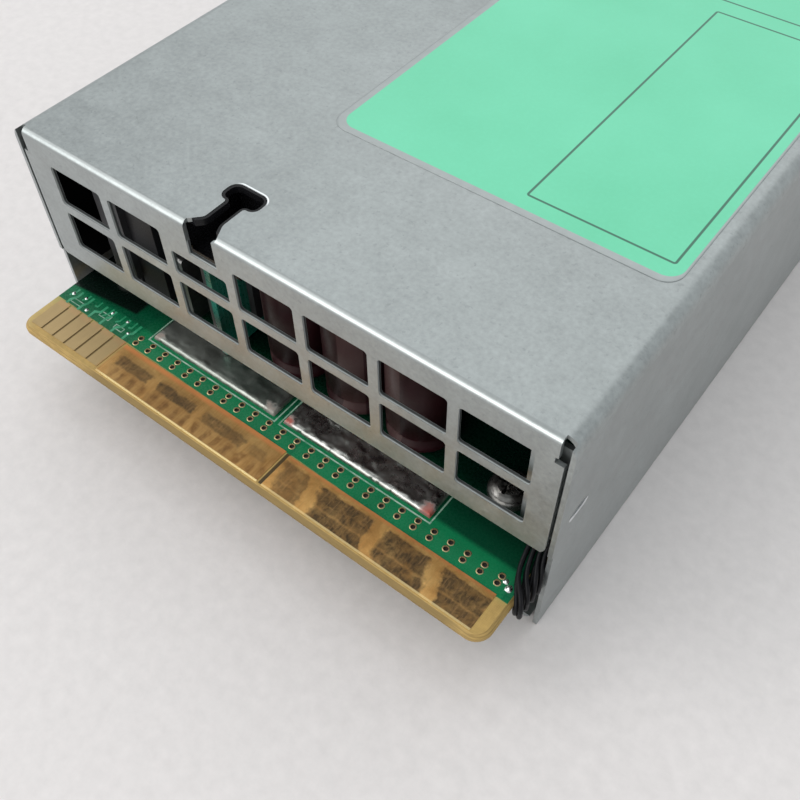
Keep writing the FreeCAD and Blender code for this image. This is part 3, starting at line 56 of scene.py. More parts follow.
# ------------------------------------------------------------- node graphs
class Graph:
    """A material's node tree, with short calls for the nodes used here.
    Coordinates are the object's own, in millimetres."""

    def __init__(self, name):
        self.mat = bpy.data.materials.new(name)
        self.mat.use_nodes = True
        self.tree = self.mat.node_tree
        self.bsdf = self.tree.nodes["Principled BSDF"]
        self._xyz = None

    def new(self, kind, **props):
        n = self.tree.nodes.new(kind)
        for k, v in props.items():
            setattr(n, k, v)
        return n

    def join(self, value, socket):
        if value is None:
            return
        if isinstance(value, (int, float)):
            socket.default_value = value
        elif isinstance(value, (tuple, list)):
            v = tuple(value)
            if len(v) == 3 and len(socket.default_value) == 4:
                v = v + (1.0,)
            socket.default_value = v
        else:
            self.tree.links.new(value, socket)

    def mm(self):
        """Position in millimetres."""
        if self._xyz is None:
            tc = self.new("ShaderNodeTexCoord")
            m = self.new("ShaderNodeVectorMath", operation="SCALE")
            self.tree.links.new(tc.outputs["Object"], m.inputs[0])
            m.inputs["Scale"].default_value = 1000.0
            self._xyz = m.outputs[0]
        return self._xyz

    def axis(self, i):
        s = self.new("ShaderNodeSeparateXYZ")
        self.join(self.mm(), s.inputs[0])
        return s.outputs[i]

    def stretched(self, sx, sy, sz, turn=0.0):
        m = self.new("ShaderNodeMapping")
        self.join(self.mm(), m.inputs["Vector"])
        m.inputs["Scale"].default_value = (sx, sy, sz)
        m.inputs["Rotation"].default_value = (0, 0, turn)
        return m.outputs[0]

    def noise(self, per_mm, detail=3.0, rough=0.55, twist=0.0, vec=None):
        n = self.new("ShaderNodeTexNoise")
        self.join(self.mm() if vec is None else vec, n.inputs["Vector"])
        n.inputs["Scale"].default_value = per_mm
        n.inputs["Detail"].default_value = detail
        n.inputs["Roughness"].default_value = rough
        n.inputs["Distortion"].default_value = twist
        return n.outputs["Fac"]

    def cells(self, per_mm, vec=None, feature="F1", out="Distance", rand=1.0):
        n = self.new("ShaderNodeTexVoronoi", feature=feature)
        self.join(self.mm() if vec is None else vec, n.inputs["Vector"])
        n.inputs["Scale"].default_value = per_mm
        n.inputs["Randomness"].default_value = rand
        return n.outputs[out]

    def waves(self, per_mm, direction="X", twist=0.0, vec=None, profile="SIN"):
        n = self.new("ShaderNodeTexWave", bands_direction=direction, wave_profile=profile)
        self.join(self.mm() if vec is None else vec, n.inputs["Vector"])
        n.inputs["Scale"].default_value = per_mm
        n.inputs["Distortion"].default_value = twist
        n.inputs["Detail"].default_value = 2.0
        return n.outputs["Fac"]

    def math(self, op, a, b=None, c=None, clamp=False):
        n = self.new("ShaderNodeMath", operation=op, use_clamp=clamp)
        self.join(a, n.inputs[0])
        if b is not None:
            self.join(b, n.inputs[1])
        if c is not None:
            self.join(c, n.inputs[2])
        return n.outputs[0]

    def remap(self, v, a, b, c=0.0, d=1.0, smooth=False):
        n = self.new("ShaderNodeMapRange", clamp=True)
        if smooth:
            n.interpolation_type = "SMOOTHSTEP"
        self.join(v, n.inputs["Value"])
        for key, val in (("From Min", a), ("From Max", b), ("To Min", c), ("To Max", d)):
            self.join(val, n.inputs[key])
        return n.outputs["Result"]

    def mix(self, fac, a, b, kind="MIX"):
        n = self.new("ShaderNodeMix", data_type="RGBA", blend_type=kind)
        self.join(fac, n.inputs[0])
        self.join(a, n.inputs[6])
        self.join(b, n.inputs[7])
        return n.outputs[2]

    def blend(self, fac, a, b):
        n = self.new("ShaderNodeMix", data_type="FLOAT")
        self.join(fac, n.inputs[0])
        self.join(a, n.inputs[2])
        self.join(b, n.inputs[3])
        return n.outputs[0]

    def ramp(self, fac, stops, interp="LINEAR"):
        n = self.new("ShaderNodeValToRGB")
        n.color_ramp.interpolation = interp
        e = n.color_ramp.elements
        while len(e) < len(stops):
            e.new(0.5)
        for el, (pos, col) in zip(e, sorted(stops, key=lambda q: q[0])):
            el.position = pos
            if isinstance(col, (int, float)):
                col = (col, col, col)
            el.color = tuple(col) + (1.0,)
        self.join(fac, n.inputs[0])
        return n.outputs[0]

    def steps(self, v, lo, hi, bands, soft=0.15):
        """1 inside the given bands of v, 0 outside, with soft edges."""
        span = hi - lo
        f = self.remap(v, lo, hi)
        stops = []
        for a, b, level in bands:
            stops += [
                ((a - soft - lo) / span, 0.0),
                ((a + soft - lo) / span, level),
                ((b - soft - lo) / span, level),
                ((b + soft - lo) / span, 0.0),
            ]
        return self.ramp(f, stops)

    def round_box(self, cx, cy, hx, hy, r, warp=None, axes=(0, 1)):
        """Signed distance in mm to a rounded rectangle in the plane of two axes."""
        s = self.new("ShaderNodeSeparateXYZ")
        self.join(self.mm() if warp is None else warp, s.inputs[0])
        qx = self.math("SUBTRACT", self.math("ABSOLUTE", self.math("SUBTRACT", s.outputs[axes[0]], cx)), hx - r)
        qy = self.math("SUBTRACT", self.math("ABSOLUTE", self.math("SUBTRACT", s.outputs[axes[1]], cy)), hy - r)
        ox, oy = self.math("MAXIMUM", qx, 0.0), self.math("MAXIMUM", qy, 0.0)
        out = self.math("SQRT", self.math("ADD", self.math("MULTIPLY", ox, ox), self.math("MULTIPLY", oy, oy)))
        inn = self.math("MINIMUM", self.math("MAXIMUM", qx, qy), 0.0)
        return self.math("SUBTRACT", self.math("ADD", out, inn), r)

    def bump(self, height, strength=0.2, mm=0.05, after=None):
        n = self.new("ShaderNodeBump")
        n.inputs["Strength"].default_value = strength
        n.inputs["Distance"].default_value = mm * MM
        self.join(height, n.inputs["Height"])
        if after is not None:
            self.join(after, n.inputs["Normal"])
        return n.outputs[0]

    def done(self, color=None, rough=None, metal=None, normal=None, **fixed):
        b = self.bsdf.inputs
        self.join(color, b["Base Color"])
        self.join(rough, b["Roughness"])
        self.join(metal, b["Metallic"])
        if normal is not None:
            self.join(normal, b["Normal"])
        names = {
            "spec": "Specular IOR Level", "coat": "Coat Weight", "coat_rough": "Coat Roughness",
            "ior": "IOR", "clear": "Transmission Weight", "sheen": "Sheen Weight", "aniso": "Anisotropic",
            "subsurface": "Subsurface Weight",
        }
        for k, v in fixed.items():
            b[names[k]].default_value = v
        return self.mat


def shade(c, k):
    return tuple(min(1.0, q * k) for q in c)


# --------------------------------------------------------------- materials
def sheet_steel(name, base=(0.335, 0.358, 0.356), rough=0.42, metal=0.80, edges=False):
    """Galvanised sheet: soft round mottling, small dark specks, dull scuffs."""
    g = Graph(name)
    warp = g.noise(0.12, 3, 0.6)
    broad = g.noise(0.035, 4, 0.6, 0.6)
    sp = g.cells(0.30, out="Color")
    spv = g.new("ShaderNodeSeparateColor")
    g.join(sp, spv.inputs[0])
    spangle = spv.outputs[0]
    mottle = g.noise(0.33, 4, 0.58, 0.3)
    fine = g.noise(1.5, 5, 0.62)
    k = g.math("ADD", g.remap(spangle, 0, 1, -0.018, 0.018), g.remap(fine, 0.25, 0.75, -0.12, 0.12))
    k = g.math("ADD", k, g.remap(mottle, 0.3, 0.7, -0.055, 0.055))
    k = g.math("ADD", k, g.remap(broad, 0.3, 0.7, -0.05, 0.05))
    col = g.ramp(g.math("ADD", k, 0.5), [(0.30, shade(base, 0.76)), (0.5, base), (0.70, shade(base, 1.26))])
    speck = g.remap(g.noise(1.25, 3, 0.55, 0.2), 0.63, 0.68)
    col = g.mix(g.math("MULTIPLY", speck, 0.34), col, shade(base, 0.62))
    scuff = g.remap(g.noise(0.5, 7, 0.7, 0.8), 0.62, 0.72)
    col = g.mix(g.math("MULTIPLY", scuff, 0.20), col, shade(base, 0.82))
    r = g.math("ADD", g.math("ADD", rough, g.remap(spangle, 0, 1, -0.02, 0.02)), g.remap(fine, 0.3, 0.7, -0.05, 0.05))
    r = g.math("ADD", r, g.remap(warp, 0.3, 0.7, -0.04, 0.04))
    r = g.math("ADD", r, g.remap(mottle, 0.3, 0.7, -0.03, 0.03))
    h = g.math("ADD", g.math("MULTIPLY", fine, 0.5), g.math("MULTIPLY", mottle, 0.35))
    nrm = g.bump(h, 0.20, 0.03)
    nrm = g.bump(broad, 0.10, 0.5, nrm)
    if not edges:
        return g.done(col, r, metal, nrm, spec=0.5)
    # painted light on the case: a painted highlight on the sheared window reveals with painted shade in their back
    # half, painted shade on the front bend with a painted highlight band across it, a painted highlight on the far rim
    # of the key slot and on the lanced slot's lip
    x, y, z = g.axis(0), g.axis(1), g.axis(2)
    # painted highlight: the window reveals are coloured brighter than the sheet
    reveal_highlight = g.math("MULTIPLY", g.steps(y, -93, -90, [(-91.96, -91.44, 1.0)], 0.03), g.math("MULTIPLY", g.remap(z, 18.0, 18.2), g.remap(z, 37.0, 36.8)))
    reveal_highlight = g.math("MULTIPLY", reveal_highlight, g.remap(g.math("ABSOLUTE", x), 40.6, 40.4))
    # painted shade: the back half of each reveal goes near black
    reveal_shade = g.math("MULTIPLY", reveal_highlight, g.remap(y, -91.80, -91.70))
    # painted shade over the front bend, with a band of painted highlight across its middle
    bend = g.math("MULTIPLY", g.remap(z, 39.12, 39.22), g.remap(y, -91.12, -91.22))
    bend_highlight = g.steps(z, 39, 40.2, [(39.56, 39.80, 1.0)], 0.07)
    # painted highlight along the far rim of the key slot head
    head = g.round_box(-8.3, -84.23, 3.0, 1.66, 1.5)
    rim = g.math("MULTIPLY", g.remap(g.math("ABSOLUTE", g.math("SUBTRACT", head, 0.09)), 0.15, 0.07), g.remap(g.math("SUBTRACT", y, g.math("MULTIPLY", g.math("ADD", x, 5.6), 0.0)), -83.9, -83.1))
    rim = g.math("MULTIPLY", g.math("MULTIPLY", rim, g.remap(z, 39.3, 39.5)), g.remap(x, -10.9, -10.2))
    col = g.mix(g.math("MULTIPLY", reveal_highlight, 0.9), col, shade(base, 1.65))
    col = g.mix(g.math("MULTIPLY", reveal_shade, 0.9), col, (0.030, 0.032, 0.033))
    col = g.mix(g.math("MULTIPLY", bend, g.math("MULTIPLY", g.math("SUBTRACT", 1.0, bend_highlight), 0.6)), col, shade(base, 0.80))
    col = g.mix(g.math("MULTIPLY", g.math("MULTIPLY", bend, bend_highlight), g.remap(fine, 0.3, 0.7, 0.65, 1.0)), col, shade(base, 1.85))
    col = g.mix(rim, col, (0.86, 0.89, 0.90))
    # painted highlight on the lip of the lanced slot in the side wall
    lance = g.round_box(-87.45, 23.35, 2.0, 0.62, 0.60, axes=(1, 2))
    lip = g.math("MULTIPLY", g.remap(lance, 0.10, -0.05), g.remap(x, 42.2, 42.4))
    col = g.mix(g.math("MULTIPLY", lip, 0.9), col, (0.80, 0.82, 0.83))
    m = g.math("SUBTRACT", metal, g.math("MULTIPLY", g.math("MAXIMUM", reveal_highlight, rim), 0.55))
    return g.done(col, r, m, nrm, spec=0.5)


def bare_metal(name, base, rough=0.3, metal=1.0, grain=(2.5, 0.4, 2.5), wear=0.15, bump=0.12):
    g = Graph(name)
    line = g.noise(1.0, 4, 0.6, 0.0, g.stretched(*grain))
    dirt = g.noise(0.35, 5, 0.65, 0.4)
    fine = g.noise(4.0, 4, 0.6)
    col = g.ramp(line, [(0.3, shade(base, 0.84)), (0.7, shade(base, 1.08))])
    col = g.mix(g.math("MULTIPLY", g.remap(dirt, 0.45, 0.75), wear * 2), col, shade(base, 0.55))
    r = g.math("ADD", rough, g.remap(fine, 0.3, 0.7, -0.07, 0.09))
    return g.done(col, r, metal, g.bump(g.math("ADD", line, fine), bump, 0.02))


def turned_metal(name, base, centres, rough=0.26):
    """Turned screw heads: fine rings round each axis, with painted shade in the grooves."""
    g = Graph(name)
    d = None
    for cx, cy in centres:
        f = g.round_box(cx, cy, 0.011, 0.011, 0.01)
        d = f if d is None else g.math("MINIMUM", d, f)
    ring = g.remap(g.math("SINE", g.math("MULTIPLY", d, 7.6)), -1, 1, 0, 1)
    dirt = g.noise(0.7, 5, 0.65, 0.4)
    # painted shade: the grooves between the rings go dark; the dirt below is real
    col = g.mix(g.math("MULTIPLY", g.remap(ring, 0.35, 0.9), 0.7), base, shade(base, 0.22))
    col = g.mix(g.math("MULTIPLY", g.remap(dirt, 0.45, 0.75), 0.4), col, shade(base, 0.35))
    r = g.math("ADD", rough, g.remap(dirt, 0.3, 0.7, -0.04, 0.10))
    return g.done(col, r, 0.95, g.bump(ring, 0.35, 0.06))


def moulding(name, base, rough=0.42, grain=5.0, bump=0.25, coat=0.0, dust=0.06, spec=0.5):
    """Moulded plastic with a fine spark-eroded texture and a little dust."""
    g = Graph(name)
    tex = g.cells(grain, feature="SMOOTH_F1")
    fine = g.noise(grain * 1.7, 4, 0.6)
    broad = g.noise(0.10, 3, 0.6, 0.3)
    lint = g.remap(g.noise(0.9, 6, 0.75, 0.5), 0.60, 0.78)
    col = g.ramp(broad, [(0.3, shade(base, 0.82)), (0.7, shade(base, 1.2))])
    grey = tuple(min(1, q + dust) for q in base)
    col = g.mix(g.math("MULTIPLY", lint, 0.5), col, grey)
    r = g.math("ADD", rough, g.remap(fine, 0.3, 0.7, -0.05, 0.08))
    return g.done(col, r, 0.0, g.bump(g.math("ADD", tex, g.math("MULTIPLY", fine, 0.5)), bump, 0.03), spec=spec, coat=coat, coat_rough=0.2)


def solder_mask(name, base, traces=0.35, legend=0.0):
    """Glass-laminate board under solder mask, with covered tracks showing through."""
    g = Graph(name)
    weave = g.math("MULTIPLY", g.waves(1.1, "X"), g.waves(1.1, "Y"))
    broad = g.noise(0.16, 3, 0.6)
    blk = g.new("ShaderNodeTexBrick")
    g.join(g.stretched(0.16, 0.16, 0.16), blk.inputs["Vector"])
    blk.offset = 0.37
    blk.squash = 0.6
    blk.squash_frequency = 3
    blk.inputs["Scale"].default_value = 2.2
    blk.inputs["Mortar Size"].default_value = 0.035
    blk.inputs["Mortar Smooth"].default_value = 0.2
    tr = blk.outputs["Fac"]
    col = g.ramp(broad, [(0.3, shade(base, 0.8)), (0.7, shade(base, 1.2))])
    col = g.mix(g.math("MULTIPLY", weave, 0.12), col, shade(base, 1.5))
    col = g.mix(g.math("MULTIPLY", tr, traces), col, (base[0] * 1.2 + 0.01, base[1] * 1.7, base[2] * 1.7))
    fine = g.noise(2.4, 4, 0.6)
    r = g.remap(fine, 0.3, 0.7, 0.24, 0.36)
    return g.done(col, r, 0.0, g.bump(g.math("ADD", g.math("MULTIPLY", tr, 0.7), g.math("MULTIPLY", fine, 0.2)), 0.3, 0.05), spec=0.55, coat=0.25, coat_rough=0.15)


GREEN = (0.002, 0.122, 0.048)
TAN = (0.43, 0.285, 0.095)


def main_board_material():
    g = Graph("board_laminate")
    x, y, z = g.axis(0), g.axis(1), g.axis(2)
    warp = g.noise(0.5, 3, 0.6)
    # solder mask behind the contacts, bare laminate in front and on the edges
    line = g.math("ADD", g.math("MULTIPLY", x, -0.0127), -96.58)
    d = g.math("SUBTRACT", y, line)
    mask = g.remap(g.math("ADD", d, g.remap(warp, 0, 1, -0.10, 0.10)), -0.05, 0.05)
    face = g.remap(g.math("ABSOLUTE", g.math("SUBTRACT", z, 11.6)), 0.755, 0.785)
    broad = g.noise(0.16, 3, 0.6)
    fine = g.noise(2.6, 4, 0.6)
    weave = g.math("MULTIPLY", g.waves(1.3, "X"), g.waves(1.3, "Y"))
    green = g.ramp(broad, [(0.3, shade(GREEN, 0.75)), (0.7, shade(GREEN, 1.25))])
    green = g.mix(g.math("MULTIPLY", weave, 0.16), green, shade(GREEN, 1.7))
    # copper planes under the mask, with clearance gaps between them
    planes = g.steps(g.math("ADD", x, g.remap(warp, 0, 1, -0.05, 0.05)), -42, 42, [(-41.2, -26.2, 0.0), (-25.6, 5.9, 1.0), (6.5, 39.9, 1.0)], 0.06)
    green = g.mix(g.math("MULTIPLY", planes, 0.35), green, (0.012, 0.235, 0.085))
    # painted shadow of the flange on the board right of the strips
    green = g.mix(g.math("MULTIPLY", g.remap(y, -93.2, -92.5, 0.0, 1.0), g.remap(x, 26.0, 28.0, 0.55, 0.80)), green, (0.0012, 0.020, 0.012))
    # painted shade: the board goes near black deeper inside the case
    green = g.mix(g.remap(y, -91.0, -85.0, 0.0, 0.86), green, (0.0008, 0.008, 0.006))
    # painted shade: the board goes near black behind a slanted line at the left
    lim = g.math("SUBTRACT", y, g.math("MULTIPLY", g.math("ADD", x, 41.0), 0.117))
    left_interior_shade = g.math("MULTIPLY", g.remap(lim, -93.2, -92.8), g.remap(x, -28.4, -29.0))
    green = g.mix(g.math("MULTIPLY", left_interior_shade, 0.95), green, (0.0015, 0.0035, 0.0030))
    tan = g.ramp(g.noise(0.6, 5, 0.65), [(0.3, shade(TAN, 0.82)), (0.72, shade(TAN, 1.16))])
    tan = g.mix(g.math("MULTIPLY", weave, 0.25), tan, shade(TAN, 1.35))
    # laminate is greener next to the mask and paler at the corners
    tan = g.mix(g.remap(x, -38.5, -41.6, 0, 0.5), tan, (0.62, 0.50, 0.22))
    tan = g.mix(g.remap(y, -97.9, -96.4, 0.0, 0.35), tan, (0.20, 0.30, 0.08))
    gap = g.math("MULTIPLY", g.steps(x, 0, 12, [(5.85, 6.5, 1.0)], 0.05), g.steps(y, -104, -95, [(-102.4, -96.5, 1.0)], 0.05))
    tan = g.mix(g.math("MULTIPLY", gap, 0.9), tan, (0.030, 0.018, 0.008))
    slits = g.math("MULTIPLY", g.steps(x, -42, -20, [(-39.6, -25.9, 1.0)], 0.05), g.steps(y, -104, -95, [(-101.9, -96.8, 1.0)], 0.05))
    tan = g.mix(g.math("MULTIPLY", slits, 0.85), tan, (0.085, 0.055, 0.018))
    edge = g.mix(g.remap(g.noise(3.0, 3, 0.6, 0, g.stretched(0.15, 0.15, 6)), 0.35, 0.65), shade(TAN, 0.55), shade(TAN, 1.05))
    # painted shade on the front bevel of the laminate below the pads
    under = g.math("MULTIPLY", g.remap(x, -29.0, -25.0), g.remap(x, 38.5, 36.0))
    edge = g.mix(g.math("MULTIPLY", under, 0.8), edge, shade(TAN, 0.42))
    col = g.mix(mask, tan, green)
    col = g.mix(face, edge, col)
    r = g.blend(mask, 0.42, g.remap(fine, 0.3, 0.7, 0.22, 0.34))
    r = g.blend(face, 0.65, r)
    h = g.math("ADD", g.math("MULTIPLY", mask, 0.8), g.math("ADD", g.math("MULTIPLY", planes, 0.5), g.math("MULTIPLY", fine, 0.12)))
    h = g.math("ADD", h, g.math("MULTIPLY", weave, 0.12))
    return g.done(col, r, 0.0, g.bump(h, 0.35, 0.06), spec=0.26, coat=0.05, coat_rough=0.12)


def gold_material():
    """Gold flash over copper, rubbed brown where a connector's blades slide."""
    g = Graph("contact_gold")
    x, y = g.axis(0), g.axis(1)
    wob = g.remap(g.noise(0.45, 3, 0.55), 0.25, 0.75, -0.75, 0.75)
    wx = g.math("ADD", g.math("ADD", x, g.math("MULTIPLY", g.math("ADD", y, 100.0), 0.22)), wob)
    wy = g.math("ADD", y, g.remap(g.noise(0.6, 3, 0.6, 0.3), 0.25, 0.75, -0.22, 0.22))
    px = g.steps(wx, -42, 42, [
        (-24.3, -17.6, 0.9), (-16.2, -8.6, 0.95), (-7.3, 0.4, 0.85), (1.6, 4.6, 0.5),
        (7.2, 11.4, 0.75), (13.4, 21.9, 1.0), (23.9, 30.9, 1.0), (32.9, 39.6, 1.0),
    ], 0.18)
    py = g.steps(wy, -104, -95, [(-102.7, -97.72, 1.0)], 0.16)
    py = g.math("SUBTRACT", py, g.steps(wy, -104, -95, [(-100.75, -100.45, 0.26)], 0.14))
    left = g.remap(x, 5.9, 6.3)
    # the left pad is rubbed dark in a narrow back row, its front row only lightly
    back = g.steps(wy, -104, -95, [(-99.85, -98.35, 1.0)], 0.25)
    scr = g.noise(1.0, 5, 0.7, 0.0, g.stretched(3.0, 0.35, 1.0, 0.35))
    scr2 = g.noise(1.0, 4, 0.7, 0.0, g.stretched(5.5, 0.30, 1.0, 0.35))
    hatch = g.waves(0.62, "X", 1.6)
    cloud = g.noise(0.8, 5, 0.65, 0.6)
    rubr = g.math("MULTIPLY", px, py)
    rubl = g.math("MULTIPLY", px, g.math("ADD", g.math("MULTIPLY", back, 1.0), g.math("MULTIPLY", py, 0.30), clamp=True))
    rub = g.blend(left, rubl, rubr)
    a = g.math("MULTIPLY", rub, g.remap(g.math("ADD", cloud, g.math("MULTIPLY", scr, 0.5)), 0.50, 0.86, 0.55, 1.0), clamp=True)
    gold = g.ramp(g.noise(0.30, 5, 0.65, 0.4), [(0.28, (0.46, 0.222, 0.066)), (0.5, (0.65, 0.352, 0.115)), (0.75, (0.84, 0.52, 0.195))])
    gold = g.mix(g.math("MULTIPLY", g.remap(scr2, 0.5, 0.7), 0.35), gold, (0.40, 0.25, 0.10))
    orange = g.remap(y, -97.45, -96.95, 0.0, 0.85)
    gold = g.mix(g.math("MULTIPLY", g.math("SUBTRACT", 1.0, left), 0.45), gold, g.ramp(scr2, [(0.35, (0.17, 0.095, 0.035)), (0.65, (0.50, 0.30, 0.12))]))
    gold = g.mix(orange, gold, (0.78, 0.30, 0.105))
    gold = g.mix(g.remap(x, -25.2, -26.2, 0.0, 0.85), gold, (0.42, 0.315, 0.165))
    brown = g.ramp(scr, [(0.34, (0.022, 0.014, 0.006)), (0.5, (0.066, 0.041, 0.017)), (0.66, (0.22, 0.125, 0.050))])
    brown = g.mix(g.math("MULTIPLY", hatch, 0.50), brown, (0.024, 0.016, 0.008))
    spots = g.math("MULTIPLY", g.remap(g.waves(0.155, "X", 5.0), 0.30, 0.80), g.steps(wy, -104, -95, [(-102.2, -100.3, 1.0)], 0.3))
    spots = g.math("MULTIPLY", g.math("MULTIPLY", spots, g.math("SUBTRACT", 1.0, left)), g.math("MULTIPLY", g.remap(cloud, 0.35, 0.65, 0.3, 1.0), g.remap(x, -25.0, -22.5)))
    gold = g.mix(g.math("MULTIPLY", spots, 0.7), gold, (0.15, 0.062, 0.025))
    col = g.mix(g.math("MULTIPLY", a, 0.97), gold, brown)
    # painted highlight: a bright line along the front edge of the pads
    front = g.remap(y, -102.20, -102.27)
    line = g.math("MULTIPLY", front, g.blend(left, g.remap(x, -24.0, -26.0, 1.0, 0.2), 0.6))
    col = g.mix(g.math("MULTIPLY", line, 0.92), col, (1.0, 0.78, 0.38))
    r = g.math("ADD", g.math("MULTIPLY", a, 0.16), g.remap(cloud, 0.3, 0.7, 0.30, 0.42))
    r = g.math("SUBTRACT", r, g.math("MULTIPLY", line, 0.10))
    m = g.math("SUBTRACT", 0.92, g.math("MULTIPLY", a, 0.40))
    h = g.math("ADD", g.math("MULTIPLY", scr, 0.6), g.math("MULTIPLY", scr2, 0.4))
    return g.done(col, r, m, g.bump(h, 0.30, 0.03))


def label_material():
    """Mint film under a clear laminate; blank frames where print would go."""
    g = Graph("label_film_printed")
    green_d = g.round_box(15.6, -9.95, 24.3, 55.95, 2.2)
    ink = g.remap(green_d, 0.04, -0.04)
    broad = g.noise(0.05, 3, 0.6)
    fine = g.noise(1.6, 5, 0.6)
    mint = g.ramp(broad, [(0.3, (0.118, 0.545, 0.325)), (0.7, (0.138, 0.590, 0.365))])
    mint = g.mix(g.remap(fine, 0.45, 0.8, 0, 0.12), mint, (0.20, 0.74, 0.52))
    lines = None
    for cx, cy, hx, hy, r in (
        (28.57, -37.7, 9.87, 25.7, 0.3),
        (15.6, 17.5, 22.4, 26.0, 1.2),
        (4.9, -37.7, 10.8, 25.7, 0.3),
    ):
        f = g.round_box(cx, cy, hx, hy, r)
        if (cx, cy) == (4.9, -37.7):
            continue
        w = g.remap(g.math("ABSOLUTE", f), 0.20, 0.12)
        lines = w if lines is None else g.math("MAXIMUM", lines, w)
    y = g.axis(1)
    x = g.axis(0)
    inside = g.remap(g.round_box(15.6, 17.5, 22.4, 26.0, 1.2), 0.0, -0.05)
    rule = g.steps(y, -70, 50, [(4.45, 4.65, 1.0), (17.45, 17.65, 1.0), (30.45, 30.65, 1.0)], 0.05)
    lines = g.math("MAXIMUM", lines, g.math("MULTIPLY", inside, rule))
    mint = g.mix(g.math("MULTIPLY", lines, 0.85), mint, (0.018, 0.055, 0.040))
    # clear border over the steel
    border = g.ramp(g.noise(0.8, 4, 0.6), [(0.3, (0.315, 0.338, 0.336)), (0.7, (0.352, 0.376, 0.374))])
    col = g.mix(ink, border, mint)
    r = g.math("ADD", 0.36, g.remap(fine, 0.3, 0.7, -0.03, 0.05))
    m = g.remap(ink, 0, 1, 0.80, 0.0)
    nrm = g.bump(g.math("ADD", g.math("MULTIPLY", ink, 0.6), g.math("MULTIPLY", g.noise(0.25, 3, 0.5), 0.6)), 0.15, 0.08)
    return g.done(col, r, m, nrm, spec=0.4, coat=0.15, coat_rough=0.2)


def tin_material():
    """Hot-tinned copper with flux stains in the corners."""
    g = Graph("strip_tin")
    lump = g.noise(0.7, 4, 0.6, 0.6)
    fine = g.noise(3.0, 5, 0.65)
    col = g.ramp(lump, [(0.3, (0.42, 0.42, 0.40)), (0.55, (0.58, 0.58, 0.55)), (0.75, (0.74, 0.74, 0.71))])
    stain = None
    for cx, cy, r in ((-22.4, -92.7, 0.62), (-0.4, -92.7, 0.85), (2.7, -92.7, 0.62), (26.0, -92.75, 0.95)):
        f = g.round_box(cx, cy, r, r * 0.8, r * 0.75)
        s = g.remap(g.math("ADD", f, g.remap(lump, 0, 1, -1.2, 1.2)), 0.45, -0.25)
        stain = s if stain is None else g.math("MAXIMUM", stain, s)
    col = g.mix(g.math("MULTIPLY", stain, 0.9), col, (0.36, 0.045, 0.022))
    dull = g.remap(g.noise(0.35, 2, 0.5, 0.5), 0.42, 0.7)
    col = g.mix(g.math("MULTIPLY", dull, 0.35), col, (0.32, 0.32, 0.30))
    plain = g.remap(g.axis(0), 1.4, 1.0)
    col = g.mix(g.math("MULTIPLY", plain, 0.75), col, (0.30, 0.325, 0.29))
    r = g.math("ADD", g.math("MULTIPLY", dull, 0.12), g.remap(fine, 0.3, 0.7, 0.22, 0.28))
    r = g.math("ADD", g.math("ADD", r, g.math("MULTIPLY", plain, 0.10)), g.math("MULTIPLY", stain, 0.3))
    # painted shade on the front wall of the strips
    front = g.remap(g.axis(1), -93.12, -93.24)
    col = g.mix(g.math("MULTIPLY", front, g.remap(g.noise(1.1, 3, 0.6, 0.4), 0.40, 0.60, 0.85, 0.35)), col, (0.13, 0.13, 0.125))
    m = g.math("SUBTRACT", 1.0, g.math("MULTIPLY", stain, 0.95))
    return g.done(col, r, m, g.bump(g.math("MULTIPLY", lump, g.math("SUBTRACT", 1.0, g.math("MULTIPLY", plain, 0.8))), 0.22, 0.08), spec=0.3)


def sleeve_material(name, base, stripe=None):
    g = Graph(name)
    broad = g.noise(0.2, 3, 0.6)
    fine = g.noise(2.4, 4, 0.6)
    col = g.ramp(broad, [(0.3, shade(base, 0.75)), (0.7, shade(base, 1.3))])
    if stripe is not None:
        # pale band down one side of each can, by the angle round its axis
        vc = g.new("ShaderNodeAttribute", attribute_name="stripe")
        col = g.mix(vc.outputs["Fac"], col, stripe)
    r = g.remap(fine, 0.3, 0.7, 0.30, 0.42)
    return g.done(col, r, 0.0, g.bump(g.math("ADD", fine, broad), 0.15, 0.05), spec=0.22)


def winding_material(name, base, direction="Y", pitch=0.9, metal=0.35):
    g = Graph(name)
    w = g.waves(pitch, direction, 0.3)
    fine = g.noise(2.0, 4, 0.6)
    col = g.mix(w, shade(base, 0.6), shade(base, 1.15))
    col = g.mix(g.remap(fine, 0.5, 0.8, 0, 0.4), col, shade(base, 0.7))
    return g.done(col, g.remap(fine, 0.3, 0.7, 0.22, 0.38), metal, g.bump(w, 0.5, 0.2), coat=0.4, coat_rough=0.15)


def wire_material(name, base, stripe=None, spec=0.35):
    g = Graph(name)
    fine = g.noise(1.8, 4, 0.6)
    broad = g.noise(0.3, 3, 0.6)
    col = g.ramp(broad, [(0.3, shade(base, 0.8)), (0.7, shade(base, 1.25))])
    if stripe is not None:
        col = g.mix(g.steps(g.math("ADD", g.axis(0), g.math("MULTIPLY", g.axis(2), 0.35)), 20, 40, [(27.6, 28.1, 1.0), (29.2, 29.6, 1.0), (31.0, 31.6, 1.0)], 0.05), col, stripe)
    return g.done(col, g.remap(fine, 0.3, 0.7, 0.34, 0.5), 0.0, g.bump(fine, 0.15, 0.05), spec=spec)


def clear_material():
    g = Graph("light_guide_clear")
    fine = g.noise(1.2, 4, 0.6)
    col = g.ramp(fine, [(0.3, (0.72, 0.86, 0.80)), (0.7, (0.86, 0.95, 0.91))])
    return g.done(col, g.remap(fine, 0.3, 0.7, 0.08, 0.2), 0.0, g.bump(fine, 0.1, 0.04), ior=1.49, clear=0.75, spec=0.5)


